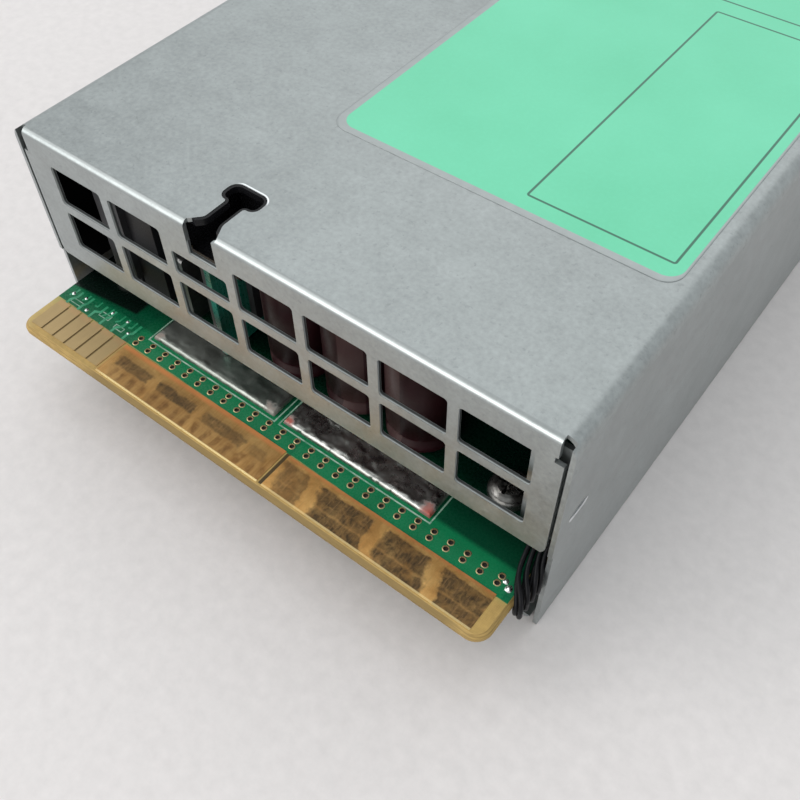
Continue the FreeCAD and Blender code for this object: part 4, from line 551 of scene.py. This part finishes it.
STEEL = sheet_steel("case_steel", edges=True)
TRAY = sheet_steel("tray_steel", (0.32, 0.345, 0.35), 0.42, 0.85)
SCREW = bare_metal("screw_zinc", (0.55, 0.56, 0.58), 0.28)
PAN_SCREW = turned_metal("turned_screw", (0.40, 0.39, 0.37), ((32.5, -84.0), (-35.5, -86.0), (-37.5, -6.0), (36.0, 50.0)))
SPRING = bare_metal("spring_steel", (0.50, 0.50, 0.50), 0.26, grain=(0.3, 3.0, 0.3))
ALU = bare_metal("black_anodised", (0.010, 0.010, 0.012), 0.50, 0.1, grain=(0.2, 3.0, 3.0))
BUSBAR = bare_metal("tinned_bar", (0.30, 0.30, 0.29), 0.42)
NICKEL = bare_metal("plated_blade", (0.66, 0.65, 0.62), 0.22, grain=(3.0, 0.3, 3.0))
BRASS_RING = bare_metal("ring_tinned", (0.60, 0.46, 0.26), 0.40)
BLACK = moulding("black_plastic", (0.022, 0.022, 0.024), 0.40, 4.0, 0.25)
GLOSS_BLACK = moulding("black_plastic_gloss", (0.007, 0.007, 0.008), 0.26, 2.0, 0.08, dust=0.02, spec=0.16)
FAN_BLACK = moulding("fan_plastic", (0.026, 0.027, 0.030), 0.36, 3.0, 0.2)
FILM = moulding("insulating_film", (0.004, 0.004, 0.005), 0.46, 1.2, 0.1, dust=0.008, spec=0.14)
EPOXY = moulding("epoxy_body", (0.030, 0.030, 0.033), 0.46, 6.0, 0.3)
FERRITE = moulding("ferrite_body", (0.060, 0.060, 0.066), 0.55, 5.0, 0.4)
MAGNET = moulding("magnet_body", (0.05, 0.05, 0.052), 0.5, 5.0, 0.3)
POWDER = moulding("core_coating", (0.05, 0.20, 0.14), 0.4, 2.0, 0.3)
NYLON = moulding("white_nylon", (0.66, 0.66, 0.60), 0.36, 2.5, 0.15)
YELLOW_BOX = moulding("film_cap_box", (0.50, 0.40, 0.06), 0.36, 2.5, 0.15)
RELAY = moulding("relay_box", (0.025, 0.045, 0.12), 0.33, 2.5, 0.15)
WINE = moulding("grip_burgundy", (0.150, 0.008, 0.030), 0.34, 3.5, 0.25, dust=0.04)
TEAL_BOARD = solder_mask("control_laminate", (0.010, 0.135, 0.095), 0.6)
SMALL_BOARD = solder_mask("indicator_laminate", (0.006, 0.15, 0.06), 0.5)
BOARD = main_board_material()
GOLD = gold_material()
LABEL = label_material()
TIN = tin_material()
MAROON = sleeve_material("sleeve_maroon", (0.022, 0.005, 0.007), (0.060, 0.030, 0.030))
BLACK_SLEEVE = sleeve_material("sleeve_black", (0.02, 0.02, 0.024))
ENAMEL = winding_material("enamelled_wire", (0.42, 0.14, 0.04), "Z", 0.8)
WOUND_COPPER = winding_material("wound_copper", (0.60, 0.28, 0.14), "Y", 0.6, 0.7)
TAPE = winding_material("winding_tape", (0.70, 0.45, 0.05), "Y", 0.35, 0.0)
WIRE_BLACK = wire_material("wire_black", (0.004, 0.004, 0.005), spec=0.16)
WIRE_BROWN = wire_material("wire_brown", (0.12, 0.045, 0.02))
WIRE_BLUE = wire_material("wire_blue", (0.02, 0.07, 0.28))
WIRE_EARTH = wire_material("wire_earth", (0.10, 0.30, 0.03), (0.75, 0.62, 0.04))
CLEAR = clear_material()

FINISH = {
    "top_cover": STEEL, "base_tray": TRAY, "rating_label": LABEL, "key_slot_guard": GLOSS_BLACK, "bottom_insulator": FILM,
    "cover_screws": SCREW, "main_board": BOARD, "power_contacts": GOLD, "signal_contacts": GOLD, "bus_strips": TIN,
    "board_standoffs": SCREW, "board_screws": PAN_SCREW, "control_board": TEAL_BOARD, "control_parts": EPOXY,
    "output_capacitors": MAROON, "output_busbars": BUSBAR, "secondary_heatsink": ALU, "secondary_transistors": EPOXY,
    "inductor_core": FERRITE, "inductor_winding": WOUND_COPPER, "transformer_core": FERRITE, "transformer_winding": TAPE,
    "primary_heatsink": ALU, "primary_transistors": EPOXY, "bridge_rectifier": EPOXY, "pfc_core": POWDER, "pfc_winding": ENAMEL,
    "bulk_capacitors": BLACK_SLEEVE, "capacitor_cradle": NYLON, "line_choke_core": POWDER, "line_choke_winding": ENAMEL,
    "line_capacitors": YELLOW_BOX, "mains_relay": RELAY, "input_fuse": NYLON, "fan_housing": FAN_BLACK, "fan_bearings": SCREW,
    "fan_shaft": SCREW, "fan_stator": WOUND_COPPER, "fan_magnet": MAGNET, "fan_impeller": FAN_BLACK, "fan_screws": SCREW,
    "inlet_housing": BLACK, "inlet_blades": NICKEL, "handle": BLACK, "handle_screws": SCREW, "latch_lever": SPRING,
    "latch_grip": WINE, "latch_pin": SCREW, "latch_bracket": TRAY, "bracket_rivets": SCREW, "latch_spring": SPRING,
    "light_pipes": CLEAR, "indicator_board": SMALL_BOARD, "indicator_lamps": CLEAR, "sense_leads": WIRE_BLACK,
    "fan_leads": WIRE_BLACK, "live_wire": WIRE_BROWN, "neutral_wire": WIRE_BLUE, "earth_wire": WIRE_EARTH, "earth_screw": NICKEL,
}
for name, obj in NODES.items():
    obj.data.materials.clear()
    obj.data.materials.append(FINISH[name])


# ------------------------------------------------------------------ pieces
def piece(name, bm, mats, body="chassis", smooth=None, stand_for=None, bevel=None):
    mesh = bpy.data.meshes.new(name)
    bm.normal_update()
    bm.to_mesh(mesh)
    bm.free()
    obj = bpy.data.objects.new(name, mesh)
    bpy.context.scene.collection.objects.link(obj)
    for m in mats if isinstance(mats, (list, tuple)) else [mats]:
        mesh.materials.append(m)
    if smooth is not None:
        mesh.shade_smooth()
        if smooth < 180:
            mesh.set_sharp_from_angle(angle=math.radians(smooth))
    if bevel:
        b = obj.modifiers.new("edge", "BEVEL")
        b.width = bevel * MM
        b.segments = 2
        b.limit_method = "ANGLE"
    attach(obj, body)
    if stand_for:
        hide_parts(*stand_for)
    return obj


def lathe(bm, profile, cx, cy, seg=48, axis="Z", mat=0, stripe=None, base=0.0):
    """A turned solid: profile is (radius, height) in mm, closed at both ends on the axis."""
    layer = bm.loops.layers.float_color.get("stripe") or bm.loops.layers.float_color.new("stripe")
    rings = []
    for r, h in profile:
        ring = []
        n = 1 if r < 1e-6 else seg
        for i in range(n):
            a = 2 * math.pi * i / seg
            u, v = r * math.cos(a), r * math.sin(a)
            if axis == "Z":
                p = (cx + u, cy + v, base + h)
            elif axis == "Y":
                p = (cx + u, base + h, cy + v)
            else:
                p = (base + h, cx + u, cy + v)
            ring.append(bm.verts.new(Vector(p) * MM))
        rings.append(ring)
    for a, b in zip(rings, rings[1:]):
        for i in range(seg):
            j = (i + 1) % seg
            vs = [a[i % len(a)], a[j % len(a)], b[j % len(b)], b[i % len(b)]]
            uniq = []
            for v in vs:
                if v not in uniq:
                    uniq.append(v)
            if len(uniq) >= 3:
                f = bm.faces.new(uniq)
                f.material_index = mat
                s = 0.0
                if stripe is not None:
                    t = (i + 0.5) / seg * 360
                    s = 1.0 if stripe[0] <= t <= stripe[1] else 0.0
                for lp in f.loops:
                    lp[layer] = (s, s, s, 1)


def ring_flat(bm, cx, cy, z, ri, ro, th, seg=24, mat=0):
    """A flat ring with a rounded outer lip."""
    prof = [(ri, 0), (ri, th), (ri + 0.25 * (ro - ri), th * 1.15), (ri + 0.7 * (ro - ri), th), (ro, th * 0.25), (ro, 0)]
    rows = []
    for r, h in prof:
        rows.append([bm.verts.new(Vector((cx + r * math.cos(2 * math.pi * i / seg), cy + r * math.sin(2 * math.pi * i / seg), z + h)) * MM) for i in range(seg)])
    for a, b in zip(rows, rows[1:]):
        for i in range(seg):
            j = (i + 1) % seg
            f = bm.faces.new([a[i], a[j], b[j], b[i]])
            f.material_index = mat


def ribbon(bm, pts, width, z, th, mat=0, mitre=True):
    """A flat track through points (x, y) on the plane z, th thick."""
    left, right = [], []
    n = len(pts)
    for i, p in enumerate(pts):
        p = Vector(p)
        d = Vector((0, 0))
        if i > 0:
            d += (p - Vector(pts[i - 1])).normalized()
        if i < n - 1:
            d += (Vector(pts[i + 1]) - p).normalized()
        d.normalize()
        k = 1.0
        if 0 < i < n - 1:
            e = (Vector(pts[i + 1]) - p).normalized()
            k = 1.0 / max(0.5, d.dot(e))
        nrm = Vector((-d.y, d.x)) * (width / 2 * k)
        left.append(p + nrm)
        right.append(p - nrm)
    def vert(q, h):
        return bm.verts.new(Vector((q.x, q.y, z + h)) * MM)
    top = [(vert(a, th), vert(b, th)) for a, b in zip(left, right)]
    bot = [(vert(a, 0), vert(b, 0)) for a, b in zip(left, right)]
    for i in range(n - 1):
        for quad in (
            (top[i][0], top[i][1], top[i + 1][1], top[i + 1][0]),
            (bot[i][0], bot[i + 1][0], bot[i + 1][1], bot[i][1]),
            (top[i][0], top[i + 1][0], bot[i + 1][0], bot[i][0]),
            (top[i][1], bot[i][1], bot[i + 1][1], top[i + 1][1]),
        ):
            bm.faces.new(quad).material_index = mat
    for e in (0, n - 1):
        f = bm.faces.new([top[e][0], bot[e][0], bot[e][1], top[e][1]])
        f.material_index = mat


def dome(bm, cx, cy, z, r, h, seg=14, rings=5, mat=0, wob=0.0, seed=0):
    """A solder fillet: a low drop that is concave at its foot."""
    rows = []
    for k in range(rings + 1):
        t = k / rings
        rr = r * (1 - t) ** 0.9 if k < rings else 0.0
        hh = h * (0.5 - 0.5 * math.cos(math.pi * t)) if t < 1 else h
        row = []
        n = seg if k < rings else 1
        for i in range(n):
            a = 2 * math.pi * i / seg
            q = 1 + wob * noise.noise(Vector((cx + 3 * math.cos(a), cy + 3 * math.sin(a), seed)))
            row.append(bm.verts.new(Vector((cx + rr * q * math.cos(a), cy + rr * q * math.sin(a), z + hh)) * MM))
        rows.append(row)
    for a, b in zip(rows, rows[1:]):
        for i in range(seg):
            j = (i + 1) % seg
            vs = [a[i], a[j]] + ([b[j], b[i]] if len(b) > 1 else [b[0]])
            bm.faces.new(vs).material_index = mat


def slab(bm, x0, x1, y0, y1, z0, z1, mat=0):
    co = [(x0, y0, z0), (x1, y0, z0), (x1, y1, z0), (x0, y1, z0), (x0, y0, z1), (x1, y0, z1), (x1, y1, z1), (x0, y1, z1)]
    v = [bm.verts.new(Vector(c) * MM) for c in co]
    for q in ((3, 2, 1, 0), (4, 5, 6, 7), (0, 1, 5, 4), (1, 2, 6, 5), (2, 3, 7, 6), (3, 0, 4, 7)):
        bm.faces.new([v[i] for i in q]).material_index = mat


def mm_box(name):
    lo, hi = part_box(name)
    return [q / MM for q in lo], [q / MM for q in hi]


rng = random.Random(7)
BLO, BHI = mm_box("main_board")
BT, BZ = BHI[2], BLO[2]

# --- plated holes behind the contacts
# near-black material for painted shade in holes and grooves
g = Graph("painted_shade_black")
PAINTED_SHADE = g.done(g.ramp(g.noise(3.0, 3, 0.6), [(0.3, (0.004, 0.004, 0.003)), (0.7, (0.012, 0.010, 0.007))]), 0.7, 0.0, g.bump(g.noise(4.0), 0.2, 0.05))
bm = bmesh.new()
for k in range(26):
    x = 38.37 - 2.52 * k
    for y in (-94.42, -95.5):
        ring_flat(bm, x, y, BT, 0.335, 0.49, 0.03, 22, 0)
        ring_flat(bm, x, y, BZ - 0.03, 0.335, 0.52, 0.025, 22, 0)
        # a near-black disc sunk in each hole: painted shade
        c = [bm.verts.new(Vector((x + 0.34 * math.cos(2 * math.pi * i / 16), y + 0.34 * math.sin(2 * math.pi * i / 16), BT - 0.18)) * MM) for i in range(16)]
        bm.faces.new(c).material_index = 1
piece("plated_hole_rings", bm, [BRASS_RING, PAINTED_SHADE], smooth=35)

# --- legend and covered tracks on the board
g = Graph("legend_white")
LEGEND = g.done(g.ramp(g.noise(0.9, 5, 0.65), [(0.35, (0.10, 0.28, 0.18)), (0.65, (0.42, 0.54, 0.45))]), 0.5, 0.0, g.bump(g.noise(4.0), 0.2, 0.03))
g = Graph("track_green")
TRACK = g.done(g.ramp(g.noise(0.8, 4, 0.6), [(0.3, (0.010, 0.200, 0.085)), (0.7, (0.055, 0.380, 0.200))]), 0.28, 0.0, g.bump(g.noise(2.0), 0.2, 0.03), coat=0.3, coat_rough=0.12)
SLO, SHI = mm_box("bus_strips")
bm = bmesh.new()
for x0, x1 in ((-23.6, 0.95), (1.75, 27.15)):
    y0 = -93.85
    ribbon(bm, [(x0, -86.5), (x0, y0), (x1, y0), (x1, -86.5)], 0.2, BT, 0.02)
for x0, y0, x1, y1 in ((-38.8, -95.6, -36.6, -94.9), (-33.2, -95.0, -31.2, -94.2), (-29.6, -95.4, -27.9, -94.7)):
    ribbon(bm, [(x0, y0), (x1, y0), (x1, y1), (x0, y1), (x0, y0)], 0.14, BT, 0.02)
piece("board_legend", bm, LEGEND)

bm = bmesh.new()
for k in range(6):
    x0 = -39.04 + 2.44 * k
    j = rng.uniform(-0.5, 0.5)
    ribbon(bm, [(x0, -96.35), (x0, -95.4 + 0.25 * k % 0.9), (x0 + 0.7 + j, -94.5), (x0 + 0.7 + j, -93.3 + 0.1 * k)], 0.42, BT, 0.022)
    ribbon(bm, [(x0 - 0.9, -94.9 + 0.4 * (k % 3)), (x0 - 0.4, -94.0), (x0 - 0.4, -93.2 + 0.1 * k)], 0.28, BT, 0.022)
piece("board_tracks", bm, TRACK)

# --- solder joints, test points and chip parts along the front of the board
g = Graph("solder_joint")
SOLDER = g.done(g.ramp(g.noise(1.6, 4, 0.6, 0.4), [(0.3, (0.55, 0.56, 0.54)), (0.7, (0.82, 0.83, 0.80))]), g.remap(g.noise(3.0), 0.3, 0.7, 0.14, 0.30), 0.9, g.bump(g.noise(1.4, 4), 0.4, 0.08))
bm = bmesh.new()
for x, y, r, h in (
    (39.95, -95.35, 0.55, 0.42), (39.15, -94.75, 0.42, 0.30), (40.55, -94.3, 0.40, 0.25),
    (-39.6, -94.3, 0.50, 0.2), (-37.2, -93.9, 0.45, 0.18), (-35.4, -95.45, 0.45, 0.18), (-31.75, -93.5, 0.42, 0.2),
    (-28.6, -93.4, 0.42, 0.18), (-26.9, -94.9, 0.42, 0.18), (-33.2, -80.5, 0.8, 0.5), (-30.4, -79.2, 0.7, 0.45),
):
    dome(bm, x, y, BT, r * (0.72 if x < 0 else 0.9), h * 0.8, wob=0.25, seed=x)
for x in (-20.5, -15.0, -9.5, -4.0, 4.8, 10.3, 15.8, 21.3, 25.3):
    dome(bm, x, -87.6, BT, 0.9, 0.5, wob=0.15, seed=x)
piece("board_solder_joints", bm, SOLDER, smooth=60)

bm = bmesh.new()
for x, y, w, d in ((-31.0, -84.4, 1.6, 0.9), (-38.6, -82.4, 2.0, 1.2), (-26.0, -83.5, 1.2, 0.7)):
    slab(bm, x - w / 2, x + w / 2, y - d / 2, y + d / 2, BT + 0.02, BT + 0.5, 0)
    slab(bm, x - w / 2 - 0.12, x - w / 2 + 0.22, y - d / 2 - 0.02, y + d / 2 + 0.02, BT + 0.01, BT + 0.52, 1)
    slab(bm, x + w / 2 - 0.22, x + w / 2 + 0.12, y - d / 2 - 0.02, y + d / 2 + 0.02, BT + 0.01, BT + 0.52, 1)
piece("board_chip_parts", bm, [EPOXY, SOLDER], bevel=0.05)

# --- tinned strips, lumpy from dipping, in place of the plain ones
bm = bmesh.new()
for x0, x1 in ((SLO[0], 0.4), (2.1, SHI[0])):
    y0, y1 = SLO[1], SHI[1]
    nx, ny = 150, 30
    top = []
    for j in range(ny + 1):
        row = []
        v = j / ny
        for i in range(nx + 1):
            u = i / nx
            x, y = x0 + (x1 - x0) * u, y0 + (y1 - y0) * v
            ex, ey = min(u, 1 - u) * (x1 - x0), min(v, 1 - v) * (y1 - y0)
            e = min(1.0, min(ex, ey) / 0.32)
            edge = math.sqrt(max(0.0, 1 - (1 - e) ** 2))
            lump = (0.07 * noise.noise(Vector((x * 0.45, y * 0.9, 3.1))) + 0.05 * noise.noise(Vector((x * 1.3, y * 1.6, 8.4)))) * (1.0 if x0 > 0 else 0.35)
            rim = (0.10 if x0 > 0 else 0.06) * math.exp(-((min(ex, ey) - 0.75) / 0.35) ** 2) * (0.6 + 0.8 * noise.noise(Vector((x * 1.1, y * 1.1, 1.7))))
            h = min(0.8, 0.06 + 0.56 * edge + (lump + rim) * edge)
            wy = 0.10 * noise.noise(Vector((x * 0.9, 5.0, 0))) if j in (0,) else 0.0
            row.append(bm.verts.new(Vector((x, max(y0, y + wy), BT + h)) * MM))
        top.append(row)
    for j in range(ny):
        for i in range(nx):
            bm.faces.new([top[j][i], top[j][i + 1], top[j + 1][i + 1], top[j + 1][i]])
    loop = top[0] + [r[-1] for r in top[1:]] + list(reversed(top[-1][:-1])) + [r[0] for r in reversed(top[1:-1])]
    low = [bm.verts.new((q.co.x, q.co.y, BT * MM)) for q in loop]
    m = len(loop)
    for i in range(m):
        j = (i + 1) % m
        bm.faces.new([loop[j], loop[i], low[i], low[j]])
    bm.faces.new(list(reversed(low)))
piece("tinned_strips", bm, TIN, smooth=50, stand_for=["bus_strips"])

# --- latch spring: the same leaf, bent between its bracket and the lever
PLO, PHI = mm_box("latch_spring")
path = [Vector(q) for q in ((-36.55, 45.8), (-36.55, 53.6), (-37.4, 58.0), (-40.2, 66.4), (-39.6, 69.6))]
fine_path = [path[0]]
for a, b in zip(path, path[1:]):
    steps = max(2, int((b - a).length / 0.8))
    fine_path += [a.lerp(b, i / steps) for i in range(1, steps + 1)]
for _ in range(2):
    fine_path = [fine_path[0]] + [fine_path[i - 1] * 0.2 + fine_path[i] * 0.6 + fine_path[i + 1] * 0.2 for i in range(1, len(fine_path) - 1)] + [fine_path[-1]]
bm = bmesh.new()
rows = []
for i, q in enumerate(fine_path):
    t = (fine_path[min(i + 1, len(fine_path) - 1)] - fine_path[max(i - 1, 0)]).normalized()
    n = Vector((-t.y, t.x)) * 0.13
    rows.append([bm.verts.new(Vector((*c, z)) * MM) for c, z in ((q + n, PLO[2]), (q - n, PLO[2]), (q - n, PHI[2]), (q + n, PHI[2]))])
for a, b in zip(rows, rows[1:]):
    for j in range(4):
        bm.faces.new([a[j], a[(j + 1) % 4], b[(j + 1) % 4], b[j]])
bm.faces.new(list(reversed(rows[0])))
bm.faces.new(rows[-1])
bmesh.ops.recalc_face_normals(bm, faces=bm.faces[:])
mesh = bpy.data.meshes.new("latch_leaf")
bm.to_mesh(mesh)
bm.free()
leaf = bpy.data.objects.new("latch_leaf", mesh)
bpy.context.scene.collection.objects.link(leaf)
mesh.materials.append(SPRING)
mesh.shade_smooth()
mesh.set_sharp_from_angle(angle=math.radians(40))
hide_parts("latch_spring")
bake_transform(leaf)

# --- output capacitors: sleeved cans with scored tops, in place of the plain ones
CLO, CHI = mm_box("output_capacitors")
R = 5.0
xs = [CLO[0] + R, (CLO[0] + CHI[0]) / 2, CHI[0] - R]
ys = [CLO[1] + R, CHI[1] - R]
H = CHI[2] - CLO[2]
g = Graph("can_top")
CAN = g.done(g.ramp(g.noise(1.5, 4, 0.6), [(0.3, (0.50, 0.51, 0.52)), (0.7, (0.68, 0.69, 0.70))]), g.remap(g.noise(3.0), 0.3, 0.7, 0.24, 0.38), 1.0, g.bump(g.noise(3.0), 0.15, 0.03))
bm = bmesh.new()
for n, (x, y) in enumerate((x, y) for x in xs for y in ys):
    a0 = 200 + 37 * n % 120
    lathe(bm, [(0, 0), (R - 0.5, 0), (R - 0.15, 0.15), (R, 0.5), (R, 1.4), (R - 0.45, 2.0), (R - 0.45, 2.5), (R, 3.1), (R, H - 0.75), (R - 0.12, H - 0.3), (R - 0.5, H - 0.05), (R - 0.95, H - 0.02), (R - 1.05, H - 0.22)], x, y, 64, base=CLO[2], mat=0, stripe=(a0, a0 + 42))
    lathe(bm, [(R - 1.05, H - 0.24), (R - 1.3, H - 0.3), (0, H - 0.3)], x, y, 64, base=CLO[2], mat=1)
    # score lines drawn as thin near-black strips: painted shade in the grooves
    for t in range(3):
        a = math.radians(20 + 60 * t + 15 * n)
        for s in (-1, 1):
            d = Vector((math.cos(a), math.sin(a))) * s
            p = [(x + d.x * 0.1, y + d.y * 0.1), (x + d.x * 2.7, y + d.y * 2.7)]
            ribbon(bm, p, 0.16, CLO[2] + H - 0.3, 0.02, 2)
piece("sleeved_cans", bm, [MAROON, CAN, PAINTED_SHADE], smooth=40, stand_for=["output_capacitors"])

# --- label with a soft edge, in place of the plain film
LLO, LHI = mm_box("rating_label")
bm = bmesh.new()
cx, cy = (LLO[0] + LHI[0]) / 2, (LLO[1] + LHI[1]) / 2
hx, hy = (LHI[0] - LLO[0]) / 2, (LHI[1] - LLO[1]) / 2
rr = 2.6
outline = []
for sx, sy, a0 in ((1, -1, -90), (1, 1, 0), (-1, 1, 90), (-1, -1, 180)):
    for i in range(9):
        a = math.radians(a0 + 90 * i / 8)
        outline.append((cx + sx * (hx - rr) + rr * math.cos(a), cy + sy * (hy - rr) + rr * math.sin(a)))
loops = []
for inset, z in ((0.0, 0.0), (0.0, 0.06), (0.10, 0.11), (0.3, 0.115)):
    kx, ky = (hx - inset) / hx, (hy - inset) / hy
    loops.append([bm.verts.new(Vector((cx + (px - cx) * kx, cy + (py - cy) * ky, LLO[2] + z)) * MM) for px, py in outline])
for a, b in zip(loops, loops[1:]):
    for i in range(len(a)):
        j = (i + 1) % len(a)
        bm.faces.new([a[i], a[j], b[j], b[i]])
bm.faces.new(loops[-1])
bm.faces.new(list(reversed(loops[0])))
piece("label_blank", bm, LABEL, smooth=60, stand_for=["rating_label"])

# ------------------------------------------------------- floor and lighting
bm = bmesh.new()
n = 40
size = 2.4
grid = [[bm.verts.new(((i / n - 0.5) * size, (j / n - 0.5) * size, 0.0)) for i in range(n + 1)] for j in range(n + 1)]
for j in range(n):
    for i in range(n):
        bm.faces.new([grid[j][i], grid[j][i + 1], grid[j + 1][i + 1], grid[j + 1][i]])
mesh = bpy.data.meshes.new("floor")
bm.to_mesh(mesh)
bm.free()
floor = bpy.data.objects.new("floor", mesh)
bpy.context.scene.collection.objects.link(floor)
g = Graph("floor_pale")
mesh.materials.append(g.done(g.ramp(g.noise(0.5, 5, 0.6), [(0.3, (0.630, 0.598, 0.590)), (0.7, (0.690, 0.655, 0.646))]), g.remap(g.noise(1.0), 0.3, 0.7, 0.5, 0.6), 0.0, g.bump(g.noise(0.8, 5), 0.12, 0.2)))
floor.location.z = -0.0002


def area(name, at, to, size, power, color=(1, 1, 1), size_y=None):
    d = bpy.data.lights.new(name, "AREA")
    d.energy = power
    d.color = color
    d.size = size
    if size_y:
        d.shape = "RECTANGLE"
        d.size_y = size_y
    o = bpy.data.objects.new(name, d)
    bpy.context.scene.collection.objects.link(o)
    o.location = at
    o.rotation_euler = (Vector(to) - Vector(at)).to_track_quat("-Z", "Y").to_euler()
    return o


area("softbox", (-0.50, 1.15, 1.75), (0, -0.03, 0.02), 2.2, 10.5, (0.985, 1.0, 1.0))
area("key", (-1.15, -0.6, 1.25), (0, -0.03, 0.02), 1.0, 9.0, (1.0, 0.985, 0.97))
area("front_fill", (-0.35, -1.5, 0.55), (0, -0.09, 0.02), 1.5, 14.5, (1.0, 0.985, 0.96))
area("rim", (1.2, 0.3, 0.8), (0.02, 0.0, 0.02), 0.6, 0.9, (0.92, 0.97, 1.0))
world = bpy.data.worlds.new("studio")
bpy.context.scene.world = world
world.use_nodes = True
bg = world.node_tree.nodes["Background"]
bg.inputs["Color"].default_value = (0.90, 0.94, 0.96, 1)
bg.inputs["Strength"].default_value = 0.78

cam_data = bpy.data.cameras.new("camera")
cam = bpy.data.objects.new("camera", cam_data)
bpy.context.scene.collection.objects.link(cam)
cam_data.sensor_width = 36.0
cam_data.lens = 41.975
cam_data.clip_start = 0.01
cam_data.clip_end = 20.0
right = Vector((0.79265017, 0.60961966, -0.00834135))
up = Vector((-0.47789312, 0.62975375, 0.61239561))
fwd = Vector((-0.3785814, 0.48142921, -0.79050746))
m = Matrix.Identity(4)
for i in range(3):
    m[i][0], m[i][1], m[i][2] = right[i], up[i], -fwd[i]
m.translation = Vector((0.060932, -0.142498, 0.113969))
cam.matrix_world = m
bpy.context.scene.camera = cam
bpy.context.scene.view_settings.view_transform = "Standard"
